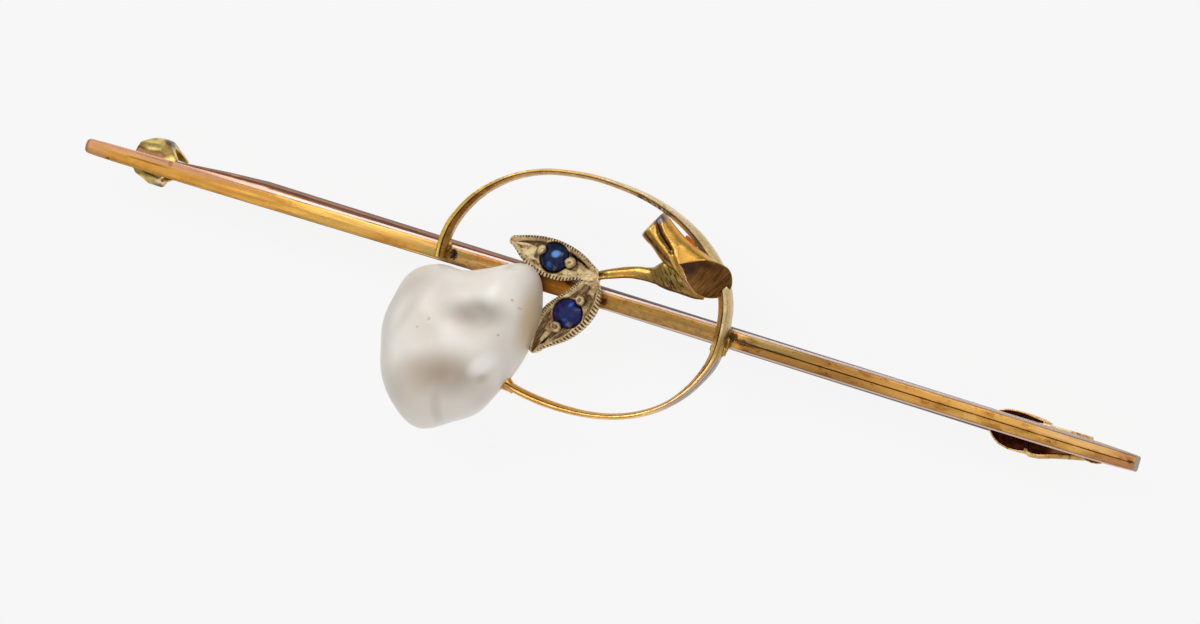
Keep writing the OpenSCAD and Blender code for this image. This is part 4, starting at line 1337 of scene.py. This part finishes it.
hookSet = {
    "from": -28.5 + 2.48, "y": 0.27, "d": 2.35, "t": 0.28, "length": 2.3, "mouthY": 0.24, "mouth": 0.6,
    "bulge": 0.13, "bulgeAt": -24.9, "tipAt": 0.45, "around": 64, "rings": 12,
    # what is left of the sheet, seen from above: shares of its length and of its width
    "plan": [
        (0, 0.18), (0.02, 0.34), (0.14, 0.43), (0.29, 0.52), (0.52, 0.6), (0.63, 0.49), (0.72, 0.4),
        (0.86, 0.3), (0.98, 0.2), (0.98, -0.1), (0.64, -0.36), (0.66, -0.6), (0.5, -0.6), (0.37, -0.5),
        (0.29, -0.43), (0.09, -0.35), (0, -0.2),
    ],
}


def makeHook(s):
    bm = newShape()
    pinZ = s["d"] / 2
    outer, inner = s["d"] / 2, s["d"] / 2 - s["t"]
    m, count = s["around"], s["rings"]
    # the open side faces the back, with rounded lips
    half = math.degrees(math.asin(s["mouth"] / 2 / outer))
    tilt = math.degrees(math.asin(s["mouthY"] / outer))
    start, stop = -90 + tilt + half, 270 + tilt - half
    ring = []
    for r, order in ((outer, range(m + 1)), (inner, range(m, -1, -1))):
        for k in order:
            a = math.radians(start + (stop - start) * k / m)
            ring.append((r * math.cos(a), r * math.sin(a)))
    xs = [s["from"] + s["length"] * i / count for i in range(count + 1)]
    rings = [[(x, s["y"] + y, pinZ + z) for y, z in ring] for x in xs]
    loft(bm, rings)
    hook = rough(bm)
    plan = [(s["from"] + a * s["length"], s["y"] + b * s["d"]) for a, b in s["plan"]]
    carve(hook, rough(prism(plan, -1, s["d"] + 1)), "INTERSECT")
    soften(hook, 0.06, 3, 50)
    # the sheet swells where it was beaten over
    for v in hook.data.vertices:
        if v.co.y > s["y"]:
            swell = 1 + s["bulge"] * math.exp(-((v.co.x - s["bulgeAt"]) / 0.8) ** 2)
            v.co.y = s["y"] + (v.co.y - s["y"]) * swell
    finishPiece(hook, "catchHook", ["hook"], 45)


makeHook(hookSet)


# the hinge


hingeSet = {
    "x": 22.6, "y": -0.1, "z": 2.35 / 2, "long": 2.4, "wide": 2.0, "shift": -0.14,
    "slot": 1.14 / 2 + 0.05, "under": 2.0, "rivet": 0.6, "rivetGap": 0.01, "hollow": 0.07, "sheet": 0.22,
    "around": 64, "bow": 1.25,
    # the lobes of the plate: height of the back, width of the rim, outline
    "lobes": [
        (1.9, 0.09, [
            (20.8, -0.1), (20.93, -0.64), (21.18, -0.9), (21.53, -1.13), (22.05, -1.25), (22.52, -1.23),
            (22.87, -1.18), (23.08, -0.92), (23.2, -0.3), (23.49, 0.62), (23.0, 0.7), (22.4, 0.77),
            (21.98, 0.76), (21.55, 0.7), (20.99, 0.48),
        ]),
        (1.94, 0.23, [
            (22.7, -0.4), (22.89, -1.18), (23.21, -1.31), (23.68, -1.26), (24.37, -1.04), (25.26, -0.83),
            (25.89, -0.7), (26.05, -0.3), (25.97, 0.55), (24.86, 0.54), (24.01, 0.52), (22.8, 0.44),
        ]),
        (1.98, 0.07, [
            (25.7, -0.4), (25.88, -0.66), (26.18, -0.71), (26.46, -0.7), (26.72, -0.6), (26.72, 0.0),
            (25.7, 0.2),
        ]),
    ],
}


def makeHinge(s):
    x, y = s["x"], s["y"]
    top, low = s["shift"] + s["wide"] / 2, s["shift"] - s["wide"] / 2
    for i, (back, rim, outline) in enumerate(s["lobes"]):
        bm = prism(outline, back, back + s["sheet"])
        face = next(f for f in bm.faces if all(v.co.z > back + s["sheet"] / 2 for v in f.verts))
        bmesh.ops.inset_region(bm, faces=[face], thickness=rim, depth=0.0)
        walls = bmesh.ops.inset_region(bm, faces=[face], thickness=0.02, depth=-s["hollow"])["faces"]
        # the hollow of each lobe takes the painted shade finish
        for f in walls + [face]:
            f.material_index = 1
        plate = soften(rough(bm), 0.03, 2, 50)
        finishPiece(plate, f"hingePlate{i}", ["hinge", "dark"])
    # each cheek is round below and straight above, flat towards the pin and bowed outside
    r, high = s["z"], s["under"] - s["z"]
    corner = math.atan2(high, r)
    turns = [2 * math.pi * k / s["around"] for k in range(s["around"])]
    turns = sorted(turns + [corner, math.pi - corner])
    bow = ((s["long"] * s["bow"]) ** 2 + (s["wide"] / 2) ** 2) / s["wide"]
    bm = newShape()
    for side in (-1, 1):
        rings = []
        for outside, hole in ((0, 0), (0, 1), (1, 1), (1, 0), (0, 0)):
            ring = []
            for a in turns:
                reach = r if math.sin(a) <= 0 else min(r / abs(math.cos(a)), high / math.sin(a))
                reach = s["rivet"] / 2 + s["rivetGap"] if hole else reach
                px = reach * math.cos(a)
                py = side * s["slot"]
                if outside:
                    py = s["shift"] + side * (math.sqrt(bow**2 - px**2) - bow + s["wide"] / 2)
                ring.append((x + px, y + py, r + reach * math.sin(a)))
            rings.append(ring)
        loft(bm, rings, capped=False)
    bmesh.ops.remove_doubles(bm, verts=bm.verts, dist=0.0001)
    finishPiece(soften(rough(bm), 0.04, 2, 40), "hingeCheeks", ["hinge"])
    rivet = disc(x, s["z"], s["rivet"] / 2, y + low + 0.02, y + top - 0.02)
    soften(rivet, 0.05, 3)
    finishPiece(rivet, "hingeRivet", ["hinge"], node="hinge_rivet")


makeHinge(hingeSet)


# the pin


pinSet = {
    "d": 1.14, "point": 4.8, "tip": 0.14, "neck": 0.336, "eye": 1.5, "gap": 0.03, "around": 32, "rings": 90,
}


def makePin(s):
    h, k = hingeSet, hookSet
    at = Vector((h["x"], h["y"]))
    tip = Vector((k["from"] + k["length"] * k["tipAt"], k["y"] + k["mouthY"]))
    run = (tip - at).length
    way = math.degrees(math.atan2(tip.y - at.y, tip.x - at.x))
    free = run - k["length"] * (1 - k["tipAt"])
    # along the pin from its rivet, and half its width
    rows = [(0.0, s["d"] / 2), (free - s["point"], s["d"] / 2), (free - s["point"] * 0.55, s["d"] * 0.37),
            (free, s["neck"] / 2), (run - 0.08, s["tip"] / 2), (run, s["tip"] / 5)]
    n = s["around"]
    stations = sorted({run * i / s["rings"] for i in range(s["rings"])} | {r[0] for r in rows})
    rings = []
    for a in stations:
        r = next(r0 + (r1 - r0) * (a - a0) / (a1 - a0)
                 for (a0, r0), (a1, r1) in zip(rows, rows[1:]) if a0 <= a <= a1)
        rings.append(roundRing(turned(a, 0, way, at), h["z"], r, way, n))
    bm = newShape()
    loft(bm, rings, lambda i, j: {"across": -math.cos(2 * math.pi * j / n)})
    pin = rough(bm)
    carve(pin, disc(h["x"], h["z"], s["eye"] / 2, h["y"] - s["d"] / 2, h["y"] + s["d"] / 2, 64), "UNION")
    carve(pin, disc(h["x"], h["z"], h["rivet"] / 2 + s["gap"], h["y"] - 2, h["y"] + 2))
    soften(pin, 0.04, 2, 50)
    finishPiece(pin, "pinStem", ["pin"], body="pin", node="pin_stem")


makePin(pinSet)


# solder where the pieces meet


# angle on the ring, step outwards, height, size, turn
solderBlobs = [
    (-1.8, 0.26, 3.15, (0.18, 0.34, 0.2), 14),
    (-3.0, 0.16, 3.2, (0.2, 0.3, 0.2), 20),
    (-2.6, -0.3, 3.2, (0.12, 0.24, 0.2), -8),
    (1.2, 0.36, 3.2, (0.16, 0.4, 0.14), 4),
    (181.0, -0.26, 3.2, (0.14, 0.3, 0.12), 0),
]
# the thin bridge from the log to the ring
bridgeSet = {"at": (4.12, 4.12, 3.92), "size": (0.46, 0.1, 0.14), "turn": -33}


def blob(bm, at, size, turn):
    ball = bmesh.ops.create_icosphere(bm, subdivisions=3, radius=1)["verts"]
    for v in ball:
        grow = 1 + 0.25 * noise.noise(v.co * 1.8 + Vector(at))
        x, y = turned(v.co.x * size[0] * grow, v.co.y * size[1] * grow, turn, at)
        v.co = (x, y, at[2] + v.co.z * size[2] * grow)


def makeSolder():
    bm = newShape()
    for deg, step, z, size, turn in solderBlobs:
        blob(bm, (*ringPoint(ringSet, deg, step), z), size, turn)
    finishPiece(rough(bm), "solder", ["solder"], 60)
    bm = newShape()
    blob(bm, bridgeSet["at"], bridgeSet["size"], bridgeSet["turn"])
    finishPiece(rough(bm), "bridge", ["bridge"], 60)


makeSolder()

print("all pieces ready")
